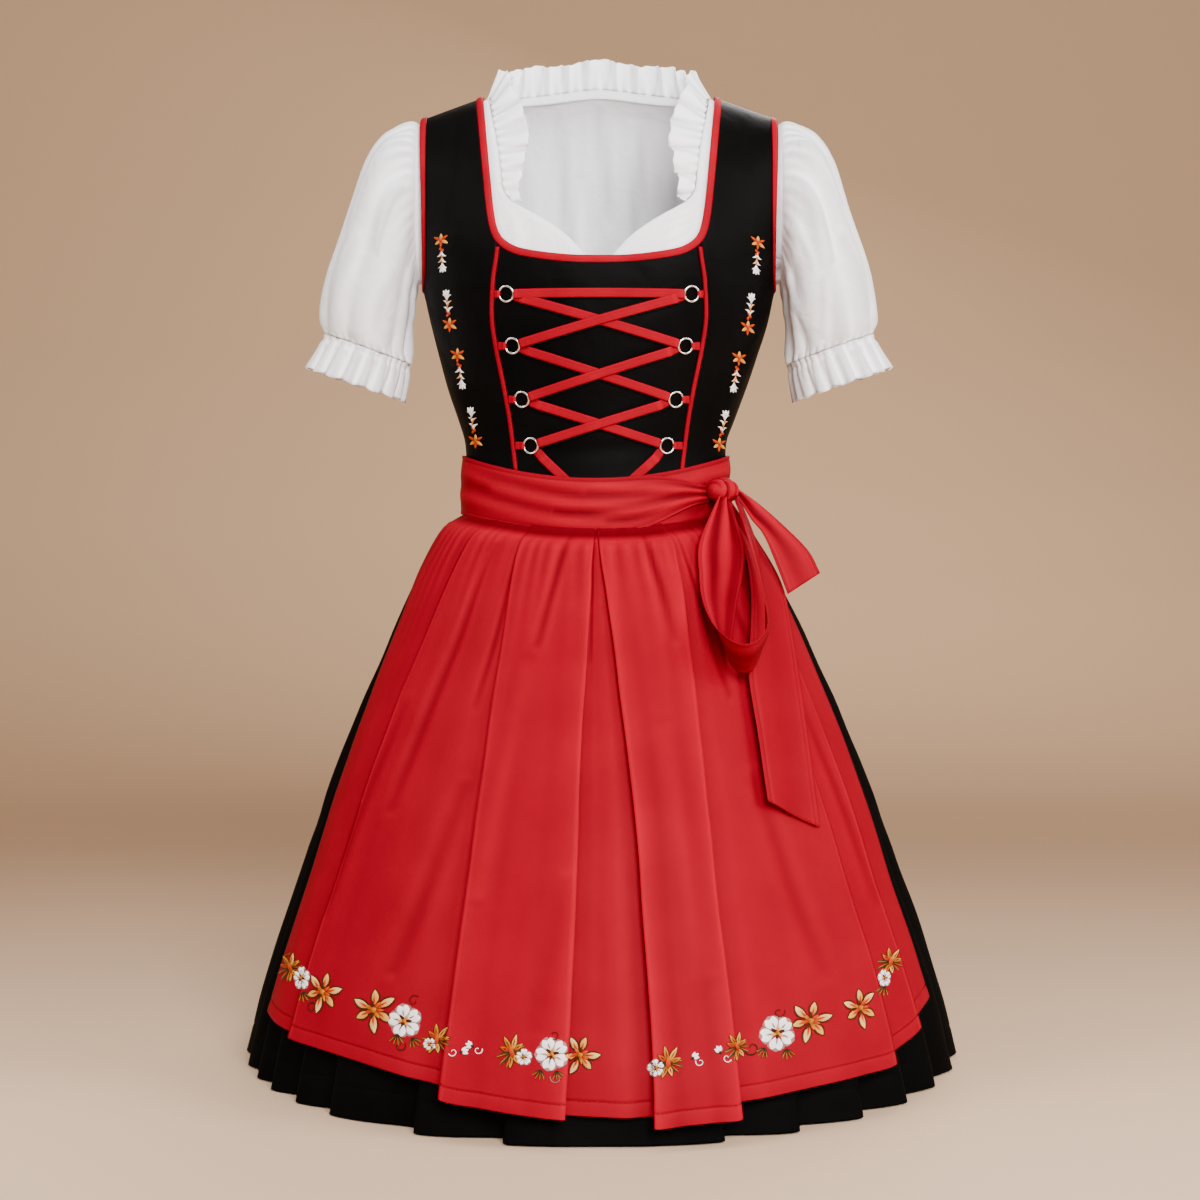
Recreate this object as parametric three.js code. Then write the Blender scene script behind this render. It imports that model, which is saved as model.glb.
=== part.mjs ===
// A dirndl set as it hangs on a wearer, but empty: a white blouse with a gathered collar and puff sleeves, a laced
// black bodice with its pleated skirt, and a red apron whose sash is tied at one side.
// Millimetres, +Z up. +X is the viewer's right and the front faces -Y. Heights are counted up from the skirt's hem,
// and the whole set is then lowered so that its origin lies between the shoulders that carry it.
import * as THREE from 'three';

// Driving dimensions
const HOLD_HEIGHT = 913;      // the shoulders that carry the set
const SEAM_GAP = 0.3;         // between two pieces that are sewn together
const CLOTH = 1.3;            // wall of bodice, skirt and apron
const COTTON = 1.1;           // wall of the blouse
const BINDING_WIDTH = 6.5;
const BINDING_WALL = 1.2;
const WAIST_SEAM = 528;       // where bodice and skirt are joined, under the sash
const UNDERARM = 735;
const NECK_POINT = 924;       // shoulder line beside the neck
const CREST_TOP = 956;        // where the two shoulder lines would meet over the neck
const SHOULDER_SLOPE = 0.37;
const CREST_ROUNDING = 30;
const SHOULDER_SPREAD = 45;   // how much wider the chest curve runs at the shoulder than at the underarm
const CHEST_ROUND = 2.6;      // how late the front and the back turn over to the shoulder line
const BACK_ROUND = 6;
const TURN = 0.625;
const BUST = { ease: 6, angle: 0.62, spread: 0.38, height: 760, reach: 55 };
const BLOUSE_DEPTH = { front: 3, armhole: 4.6 };
const BAND_HEIGHT = 9;
const RUFFLE_WIDTH = 30;
const SASH_WALL = 1.4;
const RIBBON_WALL = 1.2;

const COLOURS = {
  blackCotton: { color: 0x111010, roughness: 0.75, metalness: 0 },
  redSatin: { color: 0xc8141f, roughness: 0.5, metalness: 0 },
  redRibbon: { color: 0xc0131e, roughness: 0.6, metalness: 0 },
  whiteCotton: { color: 0xf0eef2, roughness: 0.85, metalness: 0 },
  steel: { color: 0xc8c8cc, roughness: 0.25, metalness: 1 },
};

// Bodice: half width and depths of its oval at each height, and how far its middle lies to one side
const BODICE = [
  { height: 528, half: 126.2, front: 97, back: 94, shift: -3 },
  { height: 573, half: 127, front: 97, back: 93, shift: -3 },
  { height: 588, half: 128.5, front: 98.5, back: 93, shift: -3 },
  { height: 604, half: 134, front: 100.5, back: 93.5, shift: -2.5 },
  { height: 635, half: 145, front: 105, back: 95, shift: -2 },
  { height: 667, half: 155, front: 110, back: 97, shift: -1 },
  { height: 698, half: 164, front: 114.5, back: 99, shift: 0 },
  { height: 735, half: 172, front: 117, back: 101, shift: 0 },
];

// Skirt: the same for the outer edges of its pleats, by height below the sash's lower edge at 516
const SKIRT = [
  { height: 0, half: 344.6, front: 356, back: 350, shift: 2 },
  { height: 55, half: 331, front: 342, back: 336, shift: 2 },
  { height: 120, half: 311, front: 318, back: 314, shift: 2 },
  { height: 184, half: 288, front: 291, back: 290, shift: 1.5 },
  { height: 249, half: 266, front: 264, back: 266, shift: 1 },
  { height: 314, half: 240, front: 234, back: 238, shift: 0.5 },
  { height: 357, half: 221.6, front: 213, back: 218, shift: 0 },
  { height: 400, half: 202, front: 190, back: 197, shift: -0.5 },
  { height: 443, half: 182, front: 166, back: 175, shift: -1.5 },
  { height: 465, half: 171.5, front: 152, back: 163, shift: -2 },
  { height: 486, half: 159, front: 137, back: 149, shift: -3 },
  { height: 500, half: 150, front: 125, back: 137, shift: -3 },
  { height: 508, half: 143, front: 116, back: 128, shift: -3 },
  { height: 512, half: 137, front: 108, back: 118, shift: -3 },
  { height: 516, half: 128.6, front: 99, back: 96, shift: -3 },
  { height: 528, half: 127.2, front: 98, back: 95, shift: -3 },
];
const SKIRT_ROWS = [0, 120, 249, 357, 443, 486, 500, 509, 516, 527.7];
const SASH_EDGE = 516;        // the skirt's own height where the sash ends

// Skirt folds on each side, in degrees from the centre front, where a pleat's outer edge meets the hem
const FOLDS_RIGHT = [17, 29, 41, 52, 62, 72.5, 82.5, 93, 104, 115, 127, 138, 149, 160, 171];
const FOLDS_LEFT = [13, 27, 43, 52, 60, 67, 75, 85, 96, 107, 118, 129, 141, 152, 163, 173];
const FOLD = { hem: 18, waist: 3, step: 0.8, curve: 0.8 };

// Apron: one row for each crease from the viewer's left to right. Angles in degrees at the sash and at the hem, how
// far the cloth stands out there at the hem, and the height of the apron's hem
const APRON = [
  { name: 'left edge', waist: -76, hem: -67, lift: 0, hemHeight: 60 },
  { name: 'left side', waist: -62, hem: -61.5, lift: 2, hemHeight: 57 },
  { name: 'left fold, under', waist: -49, hem: -56, lift: 0.5, hemHeight: 55 },
  { name: 'left fold', waist: -47.5, hem: -54.6, lift: 6, hemHeight: 53 },
  { name: 'left swell', waist: -42, hem: -47, lift: 2, hemHeight: 52 },
  { name: 'left hollow', waist: -36, hem: -38, lift: 0.5, hemHeight: 50 },
  { name: 'left rise', waist: -31, hem: -30, lift: 1.5, hemHeight: 46 },
  { name: 'left panel, under', waist: -27.4, hem: -23.4, lift: 0, hemHeight: 40 },
  { name: 'left panel edge', waist: -26.6, hem: -22.5, lift: 9, hemHeight: 34 },
  { name: 'left panel, outer', waist: -18, hem: -16.5, lift: 9, hemHeight: 30 },
  { name: 'left panel, inner', waist: -9, hem: -10.5, lift: 9, hemHeight: 27 },
  { name: 'left centre fold', waist: -0.9, hem: -4.5, lift: 9, hemHeight: 25 },
  { name: 'left centre fold, under', waist: -0.5, hem: -3.7, lift: 1, hemHeight: 26 },
  { name: 'centre crease', waist: 0, hem: -1.1, lift: 0, hemHeight: 25 },
  { name: 'centre hollow', waist: 0.5, hem: 3, lift: 1.5, hemHeight: 24 },
  { name: 'right centre fold, under', waist: 0.9, hem: 6.1, lift: 1, hemHeight: 24 },
  { name: 'right centre fold', waist: 1.3, hem: 6.9, lift: 10, hemHeight: 18 },
  { name: 'right panel, inner', waist: 10, hem: 11, lift: 9.5, hemHeight: 19 },
  { name: 'right panel, outer', waist: 19, hem: 15.2, lift: 9.5, hemHeight: 20 },
  { name: 'right panel edge', waist: 27.6, hem: 19.3, lift: 9, hemHeight: 21 },
  { name: 'right panel, under', waist: 28.4, hem: 20.2, lift: 1, hemHeight: 29 },
  { name: 'right rise', waist: 31, hem: 24, lift: 2, hemHeight: 33 },
  { name: 'right hollow', waist: 36, hem: 32, lift: 0.5, hemHeight: 35 },
  { name: 'right swell', waist: 42, hem: 41, lift: 1.5, hemHeight: 36 },
  { name: 'right fold', waist: 47, hem: 48.6, lift: 6, hemHeight: 38 },
  { name: 'right fold, under', waist: 48, hem: 49.8, lift: 1, hemHeight: 44 },
  { name: 'right side fold', waist: 57, hem: 58, lift: 5, hemHeight: 58 },
  { name: 'right side fold, under', waist: 58.2, hem: 59.4, lift: 0.5, hemHeight: 63 },
  { name: 'right edge', waist: 74, hem: 66, lift: 0, hemHeight: 74 },
];
const APRON_ROWS = [515.4, 509, 500, 486, 465, 443, 400, 357, 300, 230, 160];
// How far the apron stands off the skirt's form
const APRON_STAND = [
  { height: 0, out: 4.2 }, { height: 400, out: 4.6 }, { height: 500, out: 6.4 }, { height: 509, out: 6.2 },
  { height: 516, out: 4.8 },
];

// Sash: half width, depths and middle at its lower and upper edge
const SASH = {
  lower: { half: 131, front: 101.5, back: 98.5, side: 516, dip: 16 },
  upper: { half: 130.3, front: 99.8, back: 96.4, side: 573, dip: 22 },
  shift: -3, columns: 36,
};

// Front neckline of the bodice, from the centre to the shoulder: sideways place, and level on the body form
const NECKLINE = [
  { x: 0, height: 754.2 }, { x: 25, height: 755 }, { x: 50, height: 758 }, { x: 70, height: 762 },
  { x: 80, height: 765.6 }, { x: 88, height: 770.9 }, { x: 93, height: 777 }, { x: 96.3, height: 785.5 },
  { x: 98.3, height: 795.4 }, { x: 100.3, height: 809.3 }, { x: 103.5, height: 838.2 }, { x: 106.5, height: 866.4 },
  { x: 109, height: 888.9 }, { x: 111, height: 904.5 }, { x: 112.3, height: 915 }, { x: 113, height: 921 },
  { x: 113.2, height: 924 },
];
const NECK_CORNER = 6;        // the row above where the centre panel's seam meets the neckline
const BACK_NECKLINE = [
  { x: 0, height: 852 }, { x: 45, height: 854 }, { x: 70, height: 858 }, { x: 88, height: 866 },
  { x: 99, height: 880 }, { x: 106, height: 893 }, { x: 109.5, height: 905 }, { x: 112, height: 915 },
  { x: 113, height: 921 }, { x: 113.2, height: 924 },
];
// Seam between centre panel and side front
const PANEL_SEAM = [
  { height: 528, x: 75 }, { height: 573, x: 80 }, { height: 590, x: 82 }, { height: 612, x: 85 },
  { height: 640, x: 90 }, { height: 670, x: 96 }, { height: 700, x: 100.2 }, { height: 735, x: 99 },
  { height: 745, x: 97.6 }, { height: 757, x: 95.6 }, { height: 777, x: 93 },
];
// Armholes: how far out the edge of the bodice lies, and that of the blouse, whose armhole is smaller
const ARMHOLE = [
  { height: 735, x: 172, blouse: 172.6 }, { height: 745, x: 171, blouse: 172.6 },
  { height: 760, x: 170.2, blouse: 172.4 }, { height: 820, x: 170, blouse: 172.8 },
  { height: 870, x: 171.5, blouse: 174 }, { height: 924, x: 174, blouse: 176 },
];
const SEAM_ROWS = PANEL_SEAM.map((row) => row.height);
const STRAP_ROWS = NECKLINE.slice(NECK_CORNER + 1).map((row) => row.height);

// Blouse front edge: the curved opening, then the seam that carries the collar
const BLOUSE_EDGE = [
  { height: 655, x: 0.3 }, { height: 700, x: 0.3 }, { height: 740, x: 0.3 }, { height: 745, x: 4 },
  { height: 757, x: 15 },
  { height: 769, x: 27 }, { height: 781, x: 43 }, { height: 794, x: 63 }, { height: 806, x: 82 },
  { height: 818, x: 91 }, { height: 840, x: 94 }, { height: 868, x: 98 }, { height: 890, x: 102.5 },
  { height: 905, x: 105.5 }, { height: 915, x: 107.5 }, { height: 921, x: 108.6 }, { height: 924, x: 109 },
];
const COLLAR_START = 8;       // the row above where the collar begins
const BACK_NECK = { middle: 907, half: 109 };

// Right sleeve: outermost and innermost point of each section and its half depth, from the armhole to the elastic
const SLEEVE = [
  { outX: 176.5, outHeight: 902, inX: 176.5, inHeight: 740.8, depth: 47, gather: 0, follow: 0 },
  { outX: 191, outHeight: 900, inX: 178, inHeight: 737, depth: 55, gather: 1.4, follow: 0.6 },
  { outX: 210, outHeight: 886, inX: 179, inHeight: 730, depth: 61, gather: 2.4, follow: 1 },
  { outX: 228, outHeight: 856, inX: 180.5, inHeight: 722, depth: 65, gather: 2.4, follow: 1 },
  { outX: 244, outHeight: 812, inX: 182, inHeight: 712, depth: 66, gather: 2, follow: 1 },
  { outX: 263, outHeight: 755, inX: 183.8, inHeight: 697, depth: 64, gather: 1.8, follow: 1 },
  { outX: 270.5, outHeight: 708, inX: 185.5, inHeight: 676, depth: 56, gather: 2.6, follow: 1 },
  { outX: 267, outHeight: 692, inX: 186, inHeight: 663, depth: 49, gather: 1.6, follow: 1 },
];
const SLEEVE_COLUMNS = 33;
const SLEEVE_WAVES = 11;
const CUFF = [
  { outX: 266.9, outHeight: 691.3, inX: 186.2, inHeight: 662.3, depth: 49, gather: 1.6, follow: 1 },
  { outX: 275, outHeight: 676, inX: 189.5, inHeight: 645, depth: 51, gather: 2.6, follow: 1 },
  { outX: 285, outHeight: 658, inX: 194, inHeight: 627, depth: 55, gather: 4, follow: 1 },
];
const CUFF_COLUMNS = 42;
const CUFF_WAVES = 14;
const COLLAR_COLUMNS = 96;
const COLLAR_WAVES = 24;

// Lacing: the four ring heights, the rings' places, and the ribbon
const RINGS = [
  { height: 723, x: 86 }, { height: 675, x: 80.5 }, { height: 625, x: 71.8 }, { height: 581.5, x: 63.5 },
];
const RING = { radius: 7.2, wire: 1 };
const TAB = { height: 7.4, wall: 1.3 };
const LACE = { width: 8.8, low: 3.3, high: 4.9, tail: 30, tailHeight: 558 };
const PANEL_CORD = { width: 4.2, wall: 1.5 };

// Bow: the knot's middle on the sash, its half sizes, and the ribbons that leave it
const KNOT = { angle: 58, height: 539, along: 18, out: 12.5, up: 11 };
// Hanging loop: its near and its far edge
const LOOP = [
  { nearX: 93, nearY: -114, nearHeight: 491, farX: 136, farY: -98, farHeight: 489 },
  { nearX: 91.5, nearY: -140, nearHeight: 463, farX: 134, farY: -115, farHeight: 461 },
  { nearX: 93, nearY: -162, nearHeight: 441, farX: 128, farY: -133, farHeight: 437 },
  { nearX: 99.5, nearY: -184, nearHeight: 423, farX: 122, farY: -160, farHeight: 410 },
  { nearX: 109.5, nearY: -204, nearHeight: 411, farX: 118, farY: -178, farHeight: 387 },
  { nearX: 121.5, nearY: -218, nearHeight: 404, farX: 126, farY: -187, farHeight: 376 },
  { nearX: 134.5, nearY: -219, nearHeight: 404, farX: 138, farY: -187, farHeight: 378 },
  { nearX: 145, nearY: -210, nearHeight: 410, farX: 146, farY: -179, farHeight: 393 },
  { nearX: 151, nearY: -194, nearHeight: 421, farX: 152, farY: -161, farHeight: 411 },
  { nearX: 150, nearY: -173, nearHeight: 440, farX: 153, farY: -141, farHeight: 436 },
  { nearX: 145, nearY: -148, nearHeight: 466, farX: 150, farY: -119, farHeight: 464 },
  { nearX: 139, nearY: -122, nearHeight: 493, farX: 146, farY: -99, farHeight: 491 },
];
const LOOP_START = { near: [-0.8, 0.5, -0.35], far: [-0.15, 0.75, -0.65] };
const LOOP_END = { near: [0.25, 0.85, -0.45], far: [0.5, 0.7, -0.5] };
// Short end that points to the side
const SHORT_END = [
  { nearX: 143, nearY: -68, nearHeight: 513, farX: 153.7, farY: -58, farHeight: 526 },
  { nearX: 155, nearY: -72, nearHeight: 498, farX: 175, farY: -62, farHeight: 507 },
  { nearX: 164.4, nearY: -76, nearHeight: 477, farX: 199, farY: -66, farHeight: 482.5 },
  { nearX: 178, nearY: -82, nearHeight: 441, farX: 210.4, farY: -70, farHeight: 461 },
];
const SHORT_START = { near: [0.75, 0.5, -0.42], far: [0.85, 0.5, 0.15] };
// Long end that hangs over the apron: its two edges, and how far it stands off the skirt
const LONG_END = [
  { left: 134, leftHeight: 490, right: 152, rightHeight: 490, stand: 12 },
  { left: 140, leftHeight: 450, right: 174, rightHeight: 450, stand: 14 },
  { left: 138, leftHeight: 411, right: 182, rightHeight: 405, stand: 12 },
  { left: 134, leftHeight: 375, right: 186.5, rightHeight: 366, stand: 12 },
  { left: 139.8, leftHeight: 327, right: 191, rightHeight: 317, stand: 12 },
  { left: 147.3, leftHeight: 266, right: 198, rightHeight: 240, stand: 12 },
];
const LONG_START = { near: [-0.2, 0.25, -0.95], far: [0.45, 0.15, -0.88] };

// Helpers: reading a table, and the walls
const radians = (degrees) => degrees * Math.PI / 180;
const mix = (a, b, share) => a + (b - a) * share;
const clamp = (value, low, high) => Math.min(high, Math.max(low, value));
const smooth = (value) => { const t = clamp(value, 0, 1); return t * t * (3 - 2 * t); };

// The column of a table at some place between its rows, on a smooth curve through them
function read(table, key, column, place) {
  const last = table.length - 1;
  const at = clamp(place, table[0][key], table[last][key]);
  let row = 0;
  while (row < last - 1 && table[row + 1][key] < at) row += 1;
  const slope = (k) => {
    const from = table[Math.max(0, k - 1)];
    const to = table[Math.min(last, k + 1)];
    return (to[column] - from[column]) / (to[key] - from[key]);
  };
  const [a, b] = [table[row], table[row + 1]];
  const span = b[key] - a[key];
  const t = (at - a[key]) / span;
  const [t2, t3] = [t * t, t * t * t];
  return (2 * t3 - 3 * t2 + 1) * a[column] + (t3 - 2 * t2 + t) * span * slope(row)
    + (3 * t2 - 2 * t3) * b[column] + (t3 - t2) * span * slope(row + 1);
}

// A list that goes on past both its ends in steps like its first and last one
function beyond(list, index) {
  const last = list.length - 1;
  if (index < 0) return 2 * list[0] - list[1];
  if (index > last) return 2 * list[last] - list[last - 1];
  return list[index];
}

// One closed wall of even thickness under a grid of outer points. place(i, j) also answers one step past the edges,
// so that two walls on one form keep the same gap through their whole thickness.
function wall({ columns, rows, place, thickness, ring = false }) {
  const points = [];
  for (let i = -1; i <= columns + 1; i += 1) {
    points.push([]);
    for (let j = -1; j <= rows + 1; j += 1) {
      points[i + 1].push(place(ring ? (i + columns) % columns : i, j));
    }
  }
  const outer = (i, j) => points[i + 1][j + 1];
  const facing = (i, j) => {
    const across = outer(i + 1, j + 1).clone().sub(outer(i, j));
    const other = outer(i, j + 1).clone().sub(outer(i + 1, j));
    return across.cross(other).normalize();
  };
  const inner = (i, j) => {
    const faces = [facing(i - 1, j - 1), facing(i, j - 1), facing(i - 1, j), facing(i, j)]
      .filter((face) => face.lengthSq() > 0.5);
    const middle = faces.reduce((sum, face) => sum.add(face), new THREE.Vector3()).normalize();
    const lean = Math.min(...faces.map((face) => face.dot(middle)));
    return outer(i, j).clone().addScaledVector(middle, -thickness / clamp(lean, 0.6, 1));
  };
  const positions = [];
  const count = ring ? columns : columns + 1;
  for (const layer of [outer, inner]) {
    for (let i = 0; i < count; i += 1) {
      for (let j = 0; j <= rows; j += 1) positions.push(...layer(i, j).toArray());
    }
  }
  const side = count * (rows + 1);
  const at = (layer, i, j) => layer * side + (i % count) * (rows + 1) + j;
  const triangles = [];
  const quad = (a, b, c, d) => triangles.push(a, b, c, a, c, d);
  for (let i = 0; i < columns; i += 1) {
    for (let j = 0; j < rows; j += 1) {
      quad(at(0, i, j), at(0, i + 1, j), at(0, i + 1, j + 1), at(0, i, j + 1));
      quad(at(1, i, j), at(1, i, j + 1), at(1, i + 1, j + 1), at(1, i + 1, j));
    }
    quad(at(1, i, 0), at(1, i + 1, 0), at(0, i + 1, 0), at(0, i, 0));
    quad(at(0, i, rows), at(0, i + 1, rows), at(1, i + 1, rows), at(1, i, rows));
  }
  for (let j = 0; j < rows && !ring; j += 1) {
    quad(at(1, 0, j + 1), at(1, 0, j), at(0, 0, j), at(0, 0, j + 1));
    quad(at(1, columns, j), at(1, columns, j + 1), at(0, columns, j + 1), at(0, columns, j));
  }
  const geometry = new THREE.BufferGeometry();
  geometry.setAttribute('position', new THREE.Float32BufferAttribute(positions, 3));
  geometry.setIndex(triangles);
  geometry.computeVertexNormals();
  return geometry;
}

function mirrored(geometry) {
  const copy = geometry.clone();
  copy.scale(-1, 1, 1);
  const index = copy.getIndex();
  for (let k = 0; k < index.count; k += 3) {
    const first = index.getX(k);
    index.setX(k, index.getX(k + 1));
    index.setX(k + 1, first);
  }
  copy.computeVertexNormals();
  return copy;
}

const dirndl = new THREE.Group();
dirndl.position.z = -HOLD_HEIGHT;

function add(name, geometry, look) {
  const mesh = new THREE.Mesh(geometry, new THREE.MeshStandardMaterial(COLOURS[look]));
  mesh.name = name;
  dirndl.add(mesh);
}

// Body form: the outer face of the bodice. side is -1 for the front and 1 for the back, angle is counted from that
// side's middle, and level is the height below the underarm and the way up to the shoulder line above it.
const bodiceAt = (column, height) => read(BODICE, 'height', column, height);

function torso(side, angle, level) {
  const rise = (level - UNDERARM) / (NECK_POINT - UNDERARM);
  let half = bodiceAt('half', level);
  let depth = bodiceAt(side < 0 ? 'front' : 'back', level);
  let height = level;
  let facing = side;
  if (rise > 0) {
    const t = rise > 1 ? 2 - rise : rise;
    facing = rise > 1 ? -side : side;
    half += SHOULDER_SPREAD * t ** 1.2;
    const x = half * Math.sin(angle);
    const crest = CREST_TOP - SHOULDER_SLOPE * (Math.hypot(x, CREST_ROUNDING) - CREST_ROUNDING);
    height = mix(UNDERARM, crest, t);
    const turn = t ** (facing < 0 ? CHEST_ROUND : BACK_ROUND);
    depth = bodiceAt(facing < 0 ? 'front' : 'back', UNDERARM) * (1 - turn) ** TURN;
  }
  let swell = 0;
  if (facing < 0) {
    const lobe = (middle) => Math.exp(-(((angle - middle) / BUST.spread) ** 2));
    swell = BUST.ease * (lobe(BUST.angle) + lobe(-BUST.angle))
      * Math.exp(-(((height - BUST.height) / BUST.reach) ** 2));
  }
  return new THREE.Vector3(
    bodiceAt('shift', level) + (half + swell) * Math.sin(angle),
    facing * (depth + swell) * Math.cos(angle) + side * SEAM_GAP / 2,
    height,
  );
}

// The same form moved out by some distance, or in by a negative one
function onTorso(side, angle, level, out) {
  const acrossStep = 0.02;
  const upStep = 1.5;
  const across = torso(side, angle + acrossStep, level).sub(torso(side, angle - acrossStep, level));
  const up = torso(side, angle, level + upStep).sub(torso(side, angle, level - upStep));
  const normal = across.cross(up).normalize().multiplyScalar(-side);
  return torso(side, angle, level).addScaledVector(normal, out);
}

// The angle at which the form lies at x, at some level
function angleAt(side, x, level) {
  let angle = 0;
  for (let pass = 0; pass < 12; pass += 1) {
    const here = torso(side, angle, level).x;
    const rate = (torso(side, angle + 0.001, level).x - here) / 0.001;
    angle = clamp(angle + (x - here) / Math.max(rate, 20), -Math.PI / 2, Math.PI / 2);
  }
  return angle;
}

function armholeAngle(side, level, garment = 'x') {
  if (level <= UNDERARM) return Math.PI / 2;
  return angleAt(side, read(ARMHOLE, 'height', garment, level), level);
}

// Walls on the body form are laid out on a right half: angles grow to the viewer's right on the front. On the back
// they grow to the viewer's right too, so the grid is walked the other way round there.
function torsoWall({ side, columns, rows, angles, levels, out, thickness }) {
  return wall({
    columns,
    rows,
    thickness,
    place: (i, j) => {
      const column = side < 0 ? i : columns - i;
      const level = levels(column, j);
      return onTorso(side, angles(column, level, j), level, out(column, level));
    },
  });
}

// Bodice
const CENTRE_COLUMNS = 10;
const SIDE_COLUMNS = 6;
const neckHeight = (x) => read(NECKLINE.slice(0, NECK_CORNER + 1), 'x', 'height', Math.abs(x));
const seamX = (level) => read(PANEL_SEAM, 'height', 'x', level);

function centreFront() {
  const corner = NECKLINE[NECK_CORNER];
  return torsoWall({
    side: -1,
    columns: CENTRE_COLUMNS,
    rows: SEAM_ROWS.length - 1,
    thickness: CLOTH,
    out: () => 0,
    levels: (column, j) => {
      const x = corner.x * (2 * column / CENTRE_COLUMNS - 1);
      const top = neckHeight(clamp(x, -corner.x, corner.x));
      return WAIST_SEAM + (beyond(SEAM_ROWS, j) - WAIST_SEAM) * (top - WAIST_SEAM) / (corner.height - WAIST_SEAM);
    },
    angles: (column, level) => {
      const edge = angleAt(-1, seamX(level) - SEAM_GAP / 2, level);
      const other = angleAt(-1, -(seamX(level) - SEAM_GAP / 2), level);
      return mix(other, edge, column / CENTRE_COLUMNS);
    },
  });
}

// A strap piece runs from an inner edge, a seam or the neckline, to the side seam or the armhole
function strapPiece({ side, columns, rows, inner, out, thickness, garment = 'x' }) {
  return torsoWall({
    side,
    columns,
    rows: rows.length - 1,
    thickness,
    out,
    levels: (column, j) => beyond(rows, j),
    angles: (column, level) => {
      const from = angleAt(side, inner(level), level);
      return mix(from, armholeAngle(side, level, garment), column / columns);
    },
  });
}

// Both halves of a piece. The form leans to one side at the waist, so the left half is built on its own mirror image.
function bothSides(name, look, piece) {
  add(`${name}_right`, piece(), look);
  BODICE.forEach((row) => { row.shift *= -1; });
  SKIRT.forEach((row) => { row.shift *= -1; });
  add(`${name}_left`, mirrored(piece()), look);
  BODICE.forEach((row) => { row.shift *= -1; });
  SKIRT.forEach((row) => { row.shift *= -1; });
}

function frontInner(level) {
  const corner = NECKLINE[NECK_CORNER].height;
  if (level <= corner) return seamX(level) + SEAM_GAP / 2;
  return read(NECKLINE.slice(NECK_CORNER), 'height', 'x', level);
}

const backInner = (level) => {
  if (level <= BACK_NECKLINE[0].height) return SEAM_GAP / 2;
  return read(BACK_NECKLINE, 'height', 'x', level);
};

add('bodice_center_front', centreFront(), 'blackCotton');
bothSides('bodice_side_front', 'blackCotton', () => strapPiece({
  side: -1, columns: SIDE_COLUMNS, rows: [...SEAM_ROWS, ...STRAP_ROWS], inner: frontInner, out: () => 0,
  thickness: CLOTH,
}));
const BACK_ROWS = [...SEAM_ROWS.slice(0, -1), 790, 825, ...BACK_NECKLINE.map((row) => row.height)];
bothSides('bodice_back', 'blackCotton', () => strapPiece({
  side: 1, columns: SIDE_COLUMNS, rows: BACK_ROWS, inner: backInner, out: () => 0, thickness: CLOTH,
}));

// Trim that lies on the bodice: a strip along a path of places on the form. Its width lies to the right of the path,
// seen from outside when the path points up, or half to each side.
function strip({ side, path, width, wallOut, thickness, toRight = 1, toLeft = 0 }) {
  const last = path.length - 1;
  const spotAt = (k) => ({
    angle: beyond(path.map((spot) => spot.angle), k),
    level: beyond(path.map((spot) => spot.level), k),
  });
  const sideways = (k) => {
    const spot = spotAt(k);
    const [from, to] = [spotAt(k - 1), spotAt(k + 1)];
    const direction = onTorso(side, to.angle, to.level, 0).sub(onTorso(side, from.angle, from.level, 0)).normalize();
    const base = onTorso(side, spot.angle, spot.level, 0);
    const perAngle = onTorso(side, spot.angle + 0.01, spot.level, 0).sub(base).multiplyScalar(100);
    const perLevel = onTorso(side, spot.angle, spot.level - 1, 0).sub(base).multiplyScalar(-1);
    const normal = perAngle.clone().cross(perLevel).multiplyScalar(-side).normalize();
    const wanted = direction.cross(normal);
    const [aa, ab, bb] = [perAngle.lengthSq(), perAngle.dot(perLevel), perLevel.lengthSq()];
    const [wa, wb] = [wanted.dot(perAngle), wanted.dot(perLevel)];
    const scale = aa * bb - ab * ab;
    const atSeam = spot.level >= NECK_POINT;
    return { angle: atSeam ? wa / aa : (wa * bb - wb * ab) / scale, level: atSeam ? 0 : (wb * aa - wa * ab) / scale };
  };
  return wall({
    columns: 1,
    rows: last,
    thickness,
    place: (i, j) => {
      const spot = spotAt(j);
      const way = sideways(clamp(j, 0, last));
      const shift = mix(-width * toLeft, width * toRight, i);
      return onTorso(side, spot.angle + way.angle * shift, spot.level + way.level * shift, wallOut + thickness);
    },
  });
}

const onForm = (side, x, level) => ({ angle: angleAt(side, x, level), level });
const TRIM_OUT = 0.8;         // trim lies this far off the cloth under it

function neckBinding(side, rows) {
  const right = rows.map((row) => onForm(side, row.x, row.height));
  const left = rows.slice(1).map((row) => onForm(side, -row.x, row.height)).reverse();
  const path = [...left, ...right];
  return strip({
    side, path: side < 0 ? path : path.reverse(), width: BINDING_WIDTH, wallOut: TRIM_OUT, thickness: BINDING_WALL,
  });
}
add('binding_neck_front', neckBinding(-1, NECKLINE), 'redRibbon');
add('binding_neck_back', neckBinding(1, BACK_NECKLINE), 'redRibbon');

// The armhole's binding shares the rows of the piece it lies on
function armholeBinding(side, rows) {
  const levels = [UNDERARM + 2, ...rows.filter((level) => level > UNDERARM + 2)];
  const path = levels.map((level) => ({ angle: armholeAngle(side, level), level }));
  return strip({
    side, path: side < 0 ? path.reverse() : path, width: BINDING_WIDTH, wallOut: TRIM_OUT, thickness: BINDING_WALL,
  });
}
bothSides('binding_armhole_front', 'redRibbon', () => armholeBinding(-1, [...SEAM_ROWS, ...STRAP_ROWS]));
bothSides('binding_armhole_back', 'redRibbon', () => armholeBinding(1, BACK_ROWS));

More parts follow.
